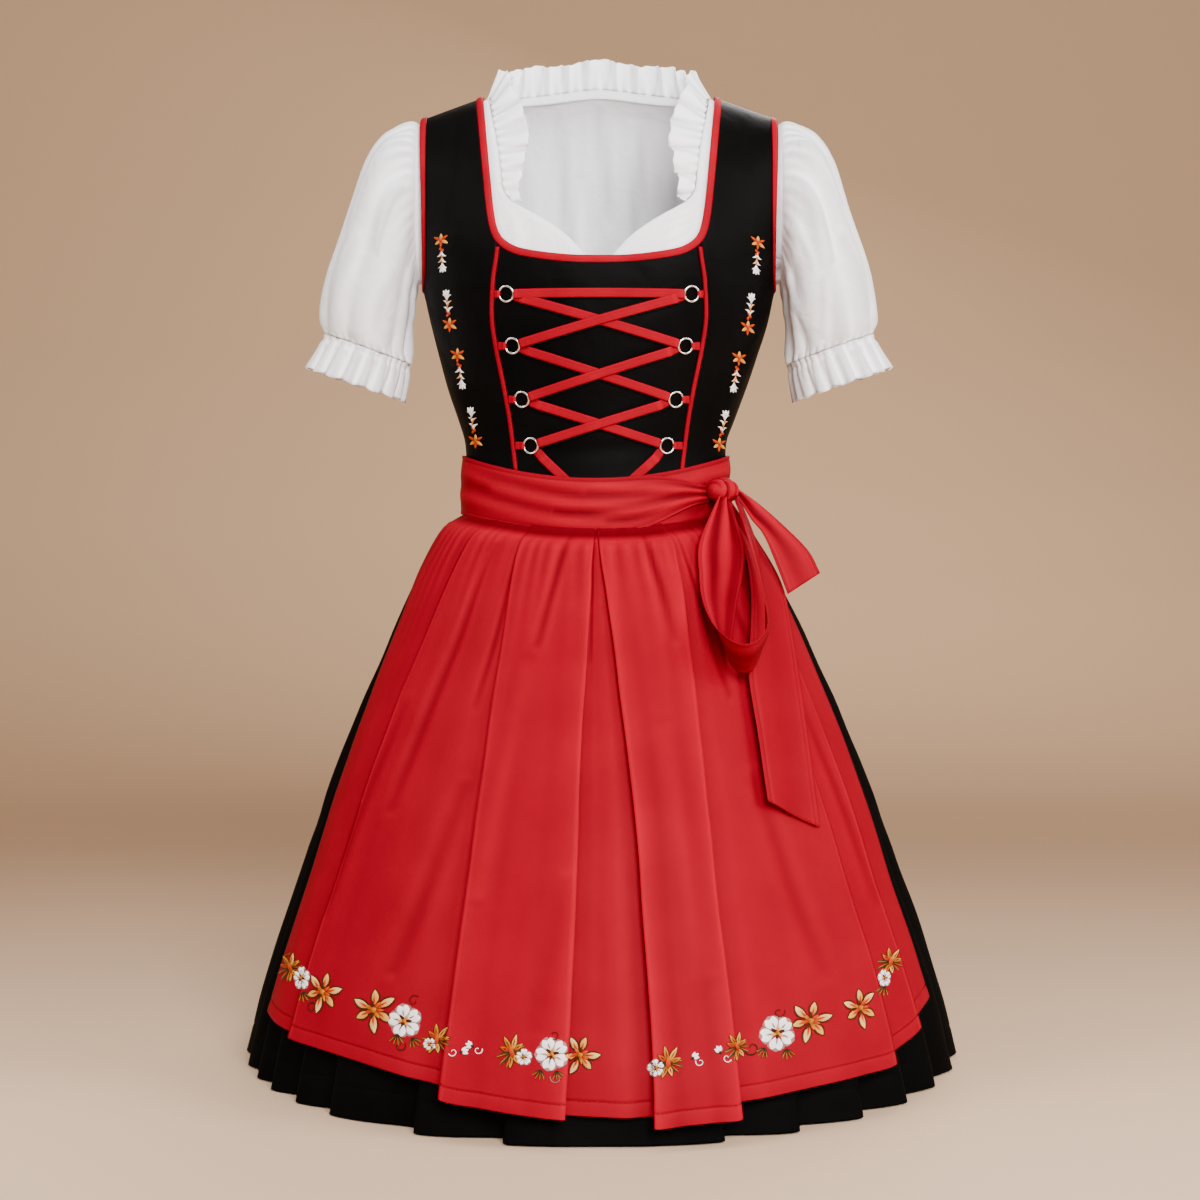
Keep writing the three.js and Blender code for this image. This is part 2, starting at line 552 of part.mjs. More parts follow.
const CORD_ROWS = SEAM_ROWS.slice(2, -1);
bothSides('panel_cord', 'redRibbon', () => strip({
  side: -1,
  path: CORD_ROWS.map((level) => onForm(-1, seamX(level), level)),
  width: PANEL_CORD.width,
  wallOut: TRIM_OUT,
  thickness: PANEL_CORD.wall,
  toRight: 0.5,
  toLeft: 0.5,
}));

// Lacing: rings on short tabs, and flat ribbon that crosses from ring to ring
const frontNormal = (x, level) => {
  const angle = angleAt(-1, x, level);
  return onTorso(-1, angle, level, 1).sub(onTorso(-1, angle, level, 0));
};
const onFront = (x, level, out) => onTorso(-1, angleAt(-1, x, level), level, out);

function ring(x, height) {
  const geometry = new THREE.TorusGeometry(RING.radius, RING.wire, 5, 12);
  const turn = new THREE.Quaternion().setFromUnitVectors(new THREE.Vector3(0, 0, 1), frontNormal(x, height));
  geometry.applyQuaternion(turn);
  const middle = onFront(x, height, RING.wire + 0.7);
  geometry.translate(middle.x, middle.y, middle.z);
  return geometry;
}

function tab(x, height) {
  const sign = Math.sign(x);
  const from = x + sign * (RING.radius + RING.wire + 0.4);
  const to = sign * (seamX(height) - PANEL_CORD.width / 2 - 0.5);
  const steps = sign > 0 ? [from, to] : [to, from];
  return wall({
    columns: 1,
    rows: 1,
    thickness: TAB.wall,
    place: (i, j) => onFront(mix(...steps, i), height + (j - 0.5) * TAB.height, TRIM_OUT + TAB.wall),
  });
}

RINGS.forEach((spot, k) => {
  for (const sign of [-1, 1]) {
    const name = sign < 0 ? 'left' : 'right';
    add(`ring_${name}_${k + 1}`, ring(sign * spot.x, spot.height), 'steel');
    add(`tab_${name}_${k + 1}`, tab(sign * spot.x, spot.height), 'redRibbon');
  }
});

function lace(from, to, out) {
  const steps = 8;
  const slope = new THREE.Vector2(to.x - from.x, to.height - from.height).normalize();
  return wall({
    columns: steps,
    rows: 1,
    thickness: RIBBON_WALL,
    place: (i, j) => {
      const share = i / steps;
      const across = (j - 0.5) * LACE.width;
      const x = mix(from.x, to.x, share) - slope.y * across;
      const height = mix(from.height, to.height, share) + slope.x * across;
      return onFront(x, height, out + RIBBON_WALL);
    },
  });
}
const spotOf = (k, sign) => ({ x: sign * RINGS[k].x, height: RINGS[k].height });
const inward = (spot, by) => ({ x: spot.x - Math.sign(spot.x) * by, height: spot.height });
add('lace_top', lace(inward(spotOf(0, -1), -2), inward(spotOf(0, 1), -2), LACE.low), 'redRibbon');
for (let k = 0; k < RINGS.length; k += 1) {
  for (const sign of [-1, 1]) {
    const from = spotOf(k, sign);
    const last = k === RINGS.length - 1;
    const to = last ? { x: sign * LACE.tail, height: LACE.tailHeight } : spotOf(k + 1, -sign);
    const fall = k === 0 ? 12 : last ? 3 : 8;
    const drop = { x: from.x - sign * fall, height: from.height - fall };
    const end = last ? to : { x: to.x + sign * 4, height: to.height + 3 };
    const out = sign < 0 ? LACE.low : LACE.high;
    const ends = sign < 0 ? [drop, end] : [end, drop];
    add(`lace_${sign < 0 ? 'left' : 'right'}_${k + 1}`, lace(...ends, out), 'redRibbon');
  }
}

// Skirt
const skirtAt = (column, height) => read(SKIRT, 'height', column, height);
const frontShare = (angle) => Math.max(0, Math.cos(angle)) ** 2;
const sashHeight = (edge, angle) => edge.side - edge.dip * frontShare(angle);

// A place on the skirt's outer form. level counts up to the sash's edge at every angle, out moves it away.
function skirtForm(angle, level, out) {
  const edge = sashHeight(SASH.lower, angle);
  const height = level <= SASH_EDGE
    ? level - (SASH_EDGE - edge) * (level / SASH_EDGE) ** 2
    : mix(edge, WAIST_SEAM, (level - SASH_EDGE) / (WAIST_SEAM - SASH_EDGE));
  const depth = Math.cos(angle) > 0 ? skirtAt('front', level) : skirtAt('back', level);
  return new THREE.Vector3(
    skirtAt('shift', level) + (skirtAt('half', level) + out) * Math.sin(angle),
    -(depth + out) * Math.cos(angle),
    height,
  );
}

// The edges of all pleats round the skirt: each fold stands out, then steps in and rises to the next one
function pleatEdges() {
  const rightSide = [];
  const leftSide = [];
  for (const [folds, list] of [[FOLDS_RIGHT, rightSide], [FOLDS_LEFT, leftSide]]) {
    folds.forEach((fold) => {
      list.push({ angle: fold, inset: 0 }, { angle: fold + FOLD.step, inset: 1 });
    });
  }
  const across = [{ angle: -FOLDS_LEFT[0] * 0.4, inset: 0.12 }, { angle: FOLDS_RIGHT[0] * 0.35, inset: 0.12 }];
  const left = leftSide.reverse().map((edge) => ({ ...edge, angle: -edge.angle }));
  const seam = [{ angle: 180, inset: 0.9 }];
  return [...left, ...across, ...rightSide, ...seam];
}
const PLEATS = pleatEdges();

function skirtPanel(first, last) {
  const columns = last - first;
  return wall({
    columns,
    rows: SKIRT_ROWS.length - 1,
    thickness: CLOTH,
    place: (i, j) => {
      const index = first + i;
      const edge = PLEATS[((index % PLEATS.length) + PLEATS.length) % PLEATS.length];
      const level = beyond(SKIRT_ROWS, j);
      const depth = mix(FOLD.hem, FOLD.waist, clamp(level / SASH_EDGE, 0, 1) ** FOLD.curve);
      const gap = (i === 0 ? 1 : 0) - (i === columns ? 1 : 0);
      const angle = radians(edge.angle) + gap * SEAM_GAP / 2 / skirtAt('half', clamp(level, 0, WAIST_SEAM));
      return skirtForm(angle, level, -depth * edge.inset);
    },
  });
}
const seamIndex = (fold) => PLEATS.findIndex((edge) => Math.abs(edge.angle - fold) < 0.01) + 1;
const SKIRT_SEAMS = [-118, -52, 52, 127].map(seamIndex);
add('skirt_front', skirtPanel(SKIRT_SEAMS[1], SKIRT_SEAMS[2]), 'blackCotton');
add('skirt_right', skirtPanel(SKIRT_SEAMS[2], SKIRT_SEAMS[3]), 'blackCotton');
add('skirt_back', skirtPanel(SKIRT_SEAMS[3], SKIRT_SEAMS[0] + PLEATS.length), 'blackCotton');
add('skirt_left', skirtPanel(SKIRT_SEAMS[0], SKIRT_SEAMS[1]), 'blackCotton');

// Apron
function apron() {
  return wall({
    columns: APRON.length - 1,
    rows: APRON_ROWS.length + 1,
    thickness: CLOTH,
    place: (i, j) => {
      const crease = APRON[clamp(i, 0, APRON.length - 1)];
      const extra = i - clamp(i, 0, APRON.length - 1);
      const last = APRON_ROWS.length - 1;
      const fromHem = [crease.hemHeight, mix(crease.hemHeight, APRON_ROWS[last], 0.5)];
      const level = j < 0 ? crease.hemHeight - 20
        : j < 2 ? fromHem[j] : beyond(APRON_ROWS.slice().reverse(), j - 2);
      const down = 1 - clamp(level / SASH_EDGE, 0, 1);
      const angle = mix(crease.waist, crease.hem, 1 - (1 - down) ** 3) + extra * 4;
      const out = read(APRON_STAND, 'height', 'out', level) + crease.lift * mix(0.04, 1, down ** 0.8);
      return skirtForm(radians(angle), level, out);
    },
  });
}
add('apron_panel', apron(), 'redSatin');

const sashPoint = (angle, share, out) => {
  const part = (column) => mix(SASH.lower[column], SASH.upper[column], share) + out;
  const depth = Math.cos(angle) > 0 ? part('front') : part('back');
  return new THREE.Vector3(
    SASH.shift + part('half') * Math.sin(angle),
    -depth * Math.cos(angle),
    mix(sashHeight(SASH.lower, angle), sashHeight(SASH.upper, angle), share),
  );
};
add('apron_sash', wall({
  columns: SASH.columns,
  rows: 2,
  ring: true,
  thickness: SASH_WALL,
  place: (i, j) => sashPoint(2 * Math.PI * i / SASH.columns, j / 2, 0),
}), 'redSatin');

// Bow
function knotFrame() {
  const angle = radians(KNOT.angle);
  const { half, front } = SASH.upper;
  const out = new THREE.Vector3(Math.sin(angle) / half, -Math.cos(angle) / front, 0).normalize();
  const along = new THREE.Vector3(-out.y, out.x, 0);
  const onSash = sashPoint(angle, 0.5, 0);
  const middle = new THREE.Vector3(onSash.x, onSash.y, KNOT.height).addScaledVector(out, KNOT.out - 0.2);
  return { middle, along, out };
}
const knot = knotFrame();

// A place on the knot in a direction given along the sash, away from it and up
function knotPoint([along, out, up], clear) {
  const length = Math.hypot(along, out, up);
  return knot.middle.clone()
    .addScaledVector(knot.along, along / length * (KNOT.along + clear))
    .addScaledVector(knot.out, out / length * (KNOT.out + clear))
    .add(new THREE.Vector3(0, 0, up / length * (KNOT.up + clear)));
}

function knotBody() {
  const geometry = new THREE.SphereGeometry(1, 14, 9);
  const position = geometry.getAttribute('position');
  for (let k = 0; k < position.count; k += 1) {
    const [x, y, z] = [position.getX(k), position.getY(k), position.getZ(k)];
    const point = knot.middle.clone().addScaledVector(knot.along, x * KNOT.along)
      .addScaledVector(knot.out, z * KNOT.out).add(new THREE.Vector3(0, 0, y * KNOT.up));
    position.setXYZ(k, point.x, point.y, point.z);
  }
  geometry.computeVertexNormals();
  return geometry;
}

const NEAR_KNOT = 1.4;
// A ribbon between two edges, each a list of points
function ribbon(near, far) {
  const last = near.length - 1;
  return wall({
    columns: last,
    rows: 2,
    thickness: RIBBON_WALL,
    place: (i, j) => {
      const k = clamp(i, 0, last);
      const point = near[k].clone().lerp(far[k], j / 2);
      if (i < 0) point.add(near[0].clone().sub(near[1]));
      if (i > last) point.add(near[last].clone().sub(near[last - 1]));
      return point;
    },
  });
}
const edgeOf = (rows, edge) => rows.map((row) => (
  new THREE.Vector3(row[`${edge}X`], row[`${edge}Y`], row[`${edge}Height`])));
const around = (ends, edge) => knotPoint(ends[edge], NEAR_KNOT);

add('bow_knot', knotBody(), 'redSatin');
add('bow_loop', ribbon(
  [around(LOOP_START, 'near'), ...edgeOf(LOOP, 'near'), around(LOOP_END, 'near')],
  [around(LOOP_START, 'far'), ...edgeOf(LOOP, 'far'), around(LOOP_END, 'far')],
), 'redSatin');
add('bow_short_end', ribbon(
  [around(SHORT_START, 'near'), ...edgeOf(SHORT_END, 'near')],
  [around(SHORT_START, 'far'), ...edgeOf(SHORT_END, 'far')],
), 'redSatin');

// A place in front of the skirt at x and some height
function overSkirt(x, height, stand) {
  const half = skirtAt('half', height) + stand;
  const across = (x - skirtAt('shift', height)) / half;
  return new THREE.Vector3(x, -(skirtAt('front', height) + stand) * Math.sqrt(1 - across * across), height);
}
add('bow_long_end', ribbon(
  [around(LONG_START, 'near'), ...LONG_END.map((row) => overSkirt(row.left, row.leftHeight, row.stand))],
  [around(LONG_START, 'far'), ...LONG_END.map((row) => overSkirt(row.right, row.rightHeight, row.stand))],
), 'redSatin');

// Blouse
const FRONT_COLUMNS = 6;
const blouseEdge = (level) => read(BLOUSE_EDGE, 'height', 'x', level);
bothSides('blouse_front', 'whiteCotton', () => strapPiece({
  side: -1,
  columns: FRONT_COLUMNS,
  rows: BLOUSE_EDGE.map((row) => row.height),
  inner: blouseEdge,
  out: (column) => -mix(BLOUSE_DEPTH.front, BLOUSE_DEPTH.armhole, smooth(column / FRONT_COLUMNS)),
  thickness: COTTON,
  garment: 'blouse',
}));

// The back is one piece: its columns are shares of the way to the armhole, and its neckline dips at the middle
const BACK_SHARES = [-1, -0.85, -0.7, -0.58, -0.42, -0.28, -0.14, 0, 0.14, 0.28, 0.42, 0.58, 0.7, 0.85, 1];
const NECK_SHARE = 0.58;
const BLOUSE_BACK_ROWS = [655, 700, 740, 745, 757, 790, 830, 868, 890, 905, 915, 921, 924];
const DIP_FROM = 830;
const backTop = (share) => mix(BACK_NECK.middle, NECK_POINT, clamp(Math.abs(share) / NECK_SHARE, 0, 1) ** 2);
function backLevel(share, row) {
  const level = beyond(BLOUSE_BACK_ROWS, row);
  if (level <= DIP_FROM) return level;
  return DIP_FROM + (level - DIP_FROM) * (backTop(share) - DIP_FROM) / (NECK_POINT - DIP_FROM);
}
const backBlouse = (share, level) => {
  const depth = mix(BLOUSE_DEPTH.front, BLOUSE_DEPTH.armhole, smooth(Math.abs(share)));
  return onTorso(1, share * armholeAngle(1, level, 'blouse'), level, -depth);
};
add('blouse_back', wall({
  columns: BACK_SHARES.length - 1,
  rows: BLOUSE_BACK_ROWS.length - 1,
  thickness: COTTON,
  place: (i, j) => {
    const share = -beyond(BACK_SHARES, i);
    return backBlouse(share, backLevel(share, j));
  },
}), 'whiteCotton');

// Narrow band that stands on the back neck
const bandShare = (k) => mix(-NECK_SHARE, NECK_SHARE, k / 10);
function bandPoint(share, height) {
  const foot = backBlouse(share, backTop(share));
  const lean = (share / NECK_SHARE) ** 3;
  const up = new THREE.Vector3(-0.45 * lean, 0.1, 1).normalize();
  const tall = mix(1.5, BAND_HEIGHT, 1 - (share / NECK_SHARE) ** 4);
  return foot.addScaledVector(up, 3 * SEAM_GAP + height * tall);
}
add('blouse_neckband', wall({
  columns: 10, rows: 1, thickness: COTTON, place: (i, j) => bandPoint(-bandShare(i), j),
}), 'whiteCotton');

// Collar: a gathered strip along the right front edge, round the back neck and down the left front edge
function collarSeam() {
  const points = [];
  const front = BLOUSE_EDGE.slice(COLLAR_START).map((row) => ({
    seam: onTorso(-1, angleAt(-1, row.x - mix(0.6, 3, smooth((row.height - 890) / 34)), row.height), row.height,
      -BLOUSE_DEPTH.front),
    turn: smooth((row.height - 870) / 54) * 0.5,
  }));
  const back = [];
  for (let k = 0; k <= 12; k += 1) {
    const share = mix(NECK_SHARE, 0, k / 12);
    back.push({
      seam: bandPoint(share, 1).add(new THREE.Vector3(0, 0, SEAM_GAP + 0.7)),
      turn: mix(0.62, 1, smooth(k / 5)),
    });
  }
  points.push(...front.slice(0, -1), ...back);
  const left = points.slice(0, -1).reverse().map((spot) => ({ ...spot, seam: spot.seam.clone().setX(-spot.seam.x) }));
  return [...points, ...left];
}

// The same list at even steps along its length
function evenly(points, count, place) {
  const lengths = [0];
  for (let k = 1; k < points.length; k += 1) {
    lengths.push(lengths[k - 1] + place(points[k]).distanceTo(place(points[k - 1])));
  }
  const total = lengths[lengths.length - 1];
  return (index) => {
    const target = clamp(index / count, 0, 1) * total;
    let k = 1;
    while (k < points.length - 1 && lengths[k] < target) k += 1;
    return { from: points[k - 1], to: points[k], share: (target - lengths[k - 1]) / (lengths[k] - lengths[k - 1]) };
  };
}

function collar() {
  const find = evenly(collarSeam(), COLLAR_COLUMNS, (spot) => spot.seam);
  return wall({
    columns: COLLAR_COLUMNS,
    rows: 2,
    thickness: COTTON,
    place: (i, j) => {
      const { from, to, share } = find(i);
      const seam = from.seam.clone().lerp(to.seam, share);
      const turn = mix(from.turn, to.turn, share);
      const sign = i < COLLAR_COLUMNS / 2 ? 1 : -1;
      const ends = Math.min(i, COLLAR_COLUMNS - i) / 10;
      const flat = new THREE.Vector3(-sign, -0.05, 0.1);
      const half = new THREE.Vector3(-0.6 * sign, 0.1, 0.85);
      const upright = new THREE.Vector3(0, 0.16, 1);
      const way = turn < 0.5 ? flat.lerp(half, turn * 2) : half.lerp(upright, turn * 2 - 1);
      const face = turn < 0.5
        ? new THREE.Vector3(0.2 * sign, -1, 0.1).lerp(new THREE.Vector3(0.85 * sign, 0, 0.5), turn * 2)
        : new THREE.Vector3(0.85 * sign, 0, 0.5).lerp(new THREE.Vector3(0, 1, 0), turn * 2 - 1);
      const width = RUFFLE_WIDTH * clamp(0.25 + 0.75 * ends, 0.25, 1);
      const wave = Math.cos(2 * Math.PI * COLLAR_WAVES * i / COLLAR_COLUMNS) * mix(0.5, 3.6, j / 2);
      return seam.addScaledVector(way.normalize(), width * j / 2).addScaledVector(face.normalize(), wave);
    },
  });
}
add('blouse_collar', collar(), 'whiteCotton');

// Sleeves: tubes whose sections turn from the armhole's upright oval to the tilted elastic
function armholeLoop() {
  const edge = (side, rows) => rows.filter((level) => level > 742).map((level) => (
    onTorso(side, armholeAngle(side, level, 'blouse'), level, -BLOUSE_DEPTH.armhole)));
  const up = edge(-1, BLOUSE_EDGE.map((row) => row.height));
  const down = edge(1, BLOUSE_BACK_ROWS.slice(0, -1)).reverse();
  const under = new THREE.Vector3(up[0].x, 0, SLEEVE[0].inHeight);
  return [under, ...up, ...down, under];
}

// Column 0 lies under the arm and the columns go round by the back, over the top and down the front
function sleeveSection(row, around, wave) {
  const out = new THREE.Vector3(row.outX, 0, row.outHeight);
  const within = new THREE.Vector3(row.inX, 0, row.inHeight);
  const middle = out.clone().lerp(within, 0.5);
  const half = out.clone().sub(middle);
  const away = new THREE.Vector3(0, 1, 0);
  const [c, s] = [Math.cos(around), Math.sin(around)];
  const reach = half.length();
  const spoke = half.clone().normalize().multiplyScalar(-c * (reach + wave))
    .addScaledVector(away, s * (row.depth + wave));
  return middle.add(spoke);
}

function sleeve() {
  const find = evenly(armholeLoop(), SLEEVE_COLUMNS, (point) => point);
  return wall({
    columns: SLEEVE_COLUMNS,
    rows: SLEEVE.length,
    ring: true,
    thickness: COTTON,
    place: (i, j) => {
      const row = SLEEVE[SLEEVE.length - clamp(j, 0, SLEEVE.length - 1) - 1];
      const { from, to, share } = find(SLEEVE_COLUMNS - i);
      const start = from.clone().lerp(to, share);
      if (j >= SLEEVE.length) return start.add(new THREE.Vector3(0.6 - 5 * (j - SLEEVE.length), 0, 0));
      start.x = row.inX;
      const turn = 2 * Math.PI * i / SLEEVE_COLUMNS;
      const section = sleeveSection(row, turn, row.gather * Math.cos(SLEEVE_WAVES * turn));
      const point = start.lerp(section, row.follow);
      if (j < 0) point.add(new THREE.Vector3(3, 0, -9));
      return point;
    },
  });
}
bothSides('sleeve', 'whiteCotton', sleeve);

bothSides('cuff', 'whiteCotton', () => wall({
  columns: CUFF_COLUMNS,
  rows: CUFF.length - 1,
  ring: true,
  thickness: COTTON,
  place: (i, j) => {
    const row = CUFF[CUFF.length - 1 - clamp(j, 0, CUFF.length - 1)];
    const turn = 2 * Math.PI * i / CUFF_COLUMNS;
    const point = sleeveSection(row, turn, row.gather * Math.cos(CUFF_WAVES * turn));
    const past = j - clamp(j, 0, CUFF.length - 1);
    return point.add(new THREE.Vector3(-4 * past, 0, 14 * past));
  },
}));

export default dirndl;
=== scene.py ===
import math

import bmesh
import bpy
from mathutils import Matrix, Vector, noise
from mathutils.bvhtree import BVHTree


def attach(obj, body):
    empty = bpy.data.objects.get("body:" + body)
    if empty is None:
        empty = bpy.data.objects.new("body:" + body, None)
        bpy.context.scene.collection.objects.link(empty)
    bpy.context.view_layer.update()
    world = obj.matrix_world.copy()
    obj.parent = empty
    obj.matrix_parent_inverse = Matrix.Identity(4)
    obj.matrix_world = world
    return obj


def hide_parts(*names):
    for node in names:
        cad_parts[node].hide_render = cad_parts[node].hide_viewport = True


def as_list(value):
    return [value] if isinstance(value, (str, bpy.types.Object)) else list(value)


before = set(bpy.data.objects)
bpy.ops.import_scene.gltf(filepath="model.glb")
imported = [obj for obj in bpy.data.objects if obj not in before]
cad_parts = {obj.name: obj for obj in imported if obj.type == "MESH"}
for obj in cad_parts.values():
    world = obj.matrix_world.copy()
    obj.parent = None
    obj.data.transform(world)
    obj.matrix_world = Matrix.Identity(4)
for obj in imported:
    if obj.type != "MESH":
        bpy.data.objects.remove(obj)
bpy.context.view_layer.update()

# The studio: a beige paper sweep under and behind the dress, five large soft lamps, and the camera of
# the photograph, level with the waist. The paper is a few edges drawn from the floor up the wall and
# pulled out sideways.
HEM_BELOW_SHOULDERS = 913.0


def in_frame(point):
    """Millimetres, with heights counted up from the skirt's hem, turned into the frame's metres."""
    return Vector((point[0], point[1], point[2] - HEM_BELOW_SHOULDERS)) / 1000


lens = bpy.data.cameras.new("studio_camera")
lens.lens, lens.sensor_width, lens.shift_y = 67.32, 36.0, -0.1
lens.clip_start, lens.clip_end = 0.05, 40.0
camera = bpy.data.objects.new("studio_camera", lens)
camera.location = in_frame((1.0, -2200.0, 549.0))
camera.rotation_euler = (math.radians(90), 0.0, 0.0)
bpy.context.collection.objects.link(camera)
bpy.context.scene.camera = camera


def lamp(name, place, aim, size, watts, tint):
    light = bpy.data.lights.new(name, "AREA")
    light.shape, light.size, light.size_y = "RECTANGLE", size[0], size[1]
    light.energy, light.color = watts, tint
    holder = bpy.data.objects.new(name, light)
    holder.location = Vector(place)
    holder.rotation_euler = (Vector(aim) - Vector(place)).to_track_quat("-Z", "Y").to_euler()
    bpy.context.collection.objects.link(holder)


lamp("lamp_front", (0.8, -3.5, 1.1), (0, 0, -0.4), (1.7, 1.6), 300, (1.0, 0.985, 0.97))
lamp("lamp_left", (-2.9, -1.6, 1.3), (0, 0, -0.35), (1.4, 1.8), 92, (1.0, 0.98, 0.95))
lamp("lamp_right", (3.0, -1.4, 0.8), (0, 0, -0.4), (1.3, 1.8), 112, (1.0, 0.98, 0.95))
lamp("lamp_over", (0.0, -0.4, 2.7), (0, 0.1, -0.5), (2.4, 1.8), 58, (1.0, 0.99, 0.97))
lamp("lamp_behind", (0.9, 3.2, 1.9), (0, 0, -0.4), (2.4, 1.6), 150, (1.0, 0.98, 0.95))

room = bpy.data.worlds.new("room")
room.use_nodes = True
room.node_tree.nodes["Background"].inputs["Color"].default_value = (0.62, 0.58, 0.54, 1)
room.node_tree.nodes["Background"].inputs["Strength"].default_value = 0.48
bpy.context.scene.world = room

SWEEP = [(-4.4, -0.9145), (2.6, -0.9145), (3.1, -0.89), (3.5, -0.8), (3.85, -0.62), (4.08, -0.36),
         (4.2, 0.0), (4.24, 0.5), (4.24, 3.4)]
SWEEP_WIDTH = 10.0
paper = bmesh.new()
line = [paper.verts.new((-SWEEP_WIDTH / 2, y, z)) for y, z in SWEEP]
drawn = [paper.edges.new(pair) for pair in zip(line, line[1:])]
pulled = bmesh.ops.extrude_edge_only(paper, edges=drawn)["geom"]
far_side = [v for v in pulled if isinstance(v, bmesh.types.BMVert)]
bmesh.ops.translate(paper, vec=(SWEEP_WIDTH, 0, 0), verts=far_side)
bmesh.ops.recalc_face_normals(paper, faces=paper.faces)
for face in paper.faces:
    face.smooth = True


def new_look(name):
    """A material with nothing but its shader, and the tree its nodes go in."""
    look = bpy.data.materials.new(name)
    look.use_nodes = True
    return look, look.node_tree, look.node_tree.nodes["Principled BSDF"]


def node(tree, kind, values=()):
    """A node of that kind, with values on its own sockets."""
    made = tree.nodes.new(f"ShaderNode{kind}")
    for socket, value in dict(values).items():
        made.inputs[socket].default_value = value
    return made


def ramp(tree, stops):
    """A colour ramp through stops of a place and a colour."""
    made = node(tree, "ValToRGB")
    elements = made.color_ramp.elements
    for end, (place, colour) in ((elements[0], stops[0]), (elements[1], stops[-1])):
        end.position, end.color = place, (*colour, 1)
    for place, colour in stops[1:-1]:
        elements.new(place).color = (*colour, 1)
    return made


def stood(name, bm, looks, ending=""):
    """What was shaped, as an object in the scene with its materials."""
    mesh = bpy.data.meshes.new(name)
    bm.to_mesh(mesh)
    bm.free()
    for look in looks:
        mesh.materials.append(look)
    piece = bpy.data.objects.new(name + ending, mesh)
    bpy.context.collection.objects.link(piece)
    return piece


beige_paper, tree, shader = new_look("beige_paper")
shader.inputs["Roughness"].default_value = 0.9
shader.inputs["Specular IOR Level"].default_value = 0.1
spot, apart, up_the_wall = node(tree, "TexCoord"), node(tree, "SeparateXYZ"), node(tree, "Math")
up_the_wall.operation = "ADD"
sweep_run = node(tree, "MapRange", {"From Min": -1.4, "From Max": 5.4})
# one beige with light and shade painted on it: painted light on the floor under and before the dress, painted
# shade in a darker band behind it and at the foot of the wall, lighter again up the wall
paper_tint_and_painted_shade = ramp(tree, [
    (0.0, (0.51, 0.355, 0.24)), (0.06, (0.50, 0.345, 0.23)), (0.20, (0.18, 0.102, 0.055)),
    (0.34, (0.22, 0.127, 0.070)), (0.62, (0.45, 0.29, 0.172)), (1.0, (0.46, 0.295, 0.175)),
])
paper_tint_and_painted_shade.color_ramp.interpolation = "B_SPLINE"
tree.links.new(spot.outputs["Object"], apart.inputs[0])
tree.links.new(apart.outputs["Y"], up_the_wall.inputs[0])
tree.links.new(apart.outputs["Z"], up_the_wall.inputs[1])
tree.links.new(up_the_wall.outputs[0], sweep_run.inputs["Value"])
tree.links.new(sweep_run.outputs[0], paper_tint_and_painted_shade.inputs[0])
tree.links.new(paper_tint_and_painted_shade.outputs[0], shader.inputs["Base Color"])
backdrop = stood("paper_sweep", paper, [beige_paper])


# The blouse: two fronts and one back of thin white cotton, worn under the dress, with a curved opening
# in front. Each is a shell on the body's form, a little inside the bodice, with its listed soft creases
# pushed in.
UNDERARM, NECK_POINT = 735.0, 924.0
SHOULDER_CREST, SHOULDER_SLOPE, CREST_ROUNDING, SHOULDER_SPREAD = 956.0, 0.37, 30.0, 45.0
CHEST_ROUND, BACK_ROUND, TURN_OVER = 2.6, 6.0, 0.625
BUST_EASE, BUST_ANGLE, BUST_SPREAD, BUST_HEIGHT, BUST_REACH = 6.0, 0.62, 0.38, 760.0, 55.0
SEAM_GAP = 0.3
HALF, FRONT, BACK, LEAN = 1, 2, 3, 4
# height, half width, depth of the front, depth of the back, lean to one side
BODY = [
    (528, 126.2, 97, 94, -3), (573, 127, 97, 93, -3), (588, 128.5, 98.5, 93, -3),
    (604, 134, 100.5, 93.5, -2.5), (635, 145, 105, 95, -2), (667, 155, 110, 97, -1), (698, 164, 114.5, 99, 0),
    (735, 172, 117, 101, 0),
]
BODICE_ARMHOLE, BLOUSE_ARMHOLE = 1, 2
# level, sideways place of the bodice's edge and of the blouse's
ARMHOLES = [
    (735, 172, 172.6), (745, 171, 172.6), (760, 170.2, 172.4), (820, 170, 172.8), (870, 171.5, 174),
    (924, 174, 176),
]
# level and sideways place of the blouse's front edge: the opening, then the seam of the collar
BLOUSE_EDGE = [
    (655, 0.3), (700, 0.3), (740, 0.3), (745, 4), (757, 15), (769, 27), (781, 43), (794, 63), (806, 82),
    (818, 91), (840, 94), (868, 98), (890, 102.5), (905, 105.5), (915, 107.5), (921, 108.6), (924, 109),
]
BLOUSE_IN = (3.0, 4.6)       # how far the blouse lies inside the bodice, at the front and at the armhole
BACK_NECK_LEVEL, NECK_SHARE, DIP_FROM = 907.0, 0.58, 830.0


def mixed(a, b, share):
    return a + (b - a) * share


def eased(share):
    share = min(1.0, max(0.0, share))
    return share * share * (3 - 2 * share)


def read(table, place, column=1):
    """A table's column at a place between its rows, on a smooth curve through them."""
    last = len(table) - 1
    place = min(max(place, table[0][0]), table[last][0])
    row = 0
    while row < last - 1 and table[row + 1][0] < place:
        row += 1

    def slope(k):
        before, after = table[max(0, k - 1)], table[min(last, k + 1)]
        return (after[column] - before[column]) / (after[0] - before[0])

    a, b = table[row], table[row + 1]
    span = b[0] - a[0]
    t = (place - a[0]) / span
    return ((2 * t ** 3 - 3 * t * t + 1) * a[column] + (t ** 3 - 2 * t * t + t) * span * slope(row)
            + (3 * t * t - 2 * t ** 3) * b[column] + (t ** 3 - t * t) * span * slope(row + 1))


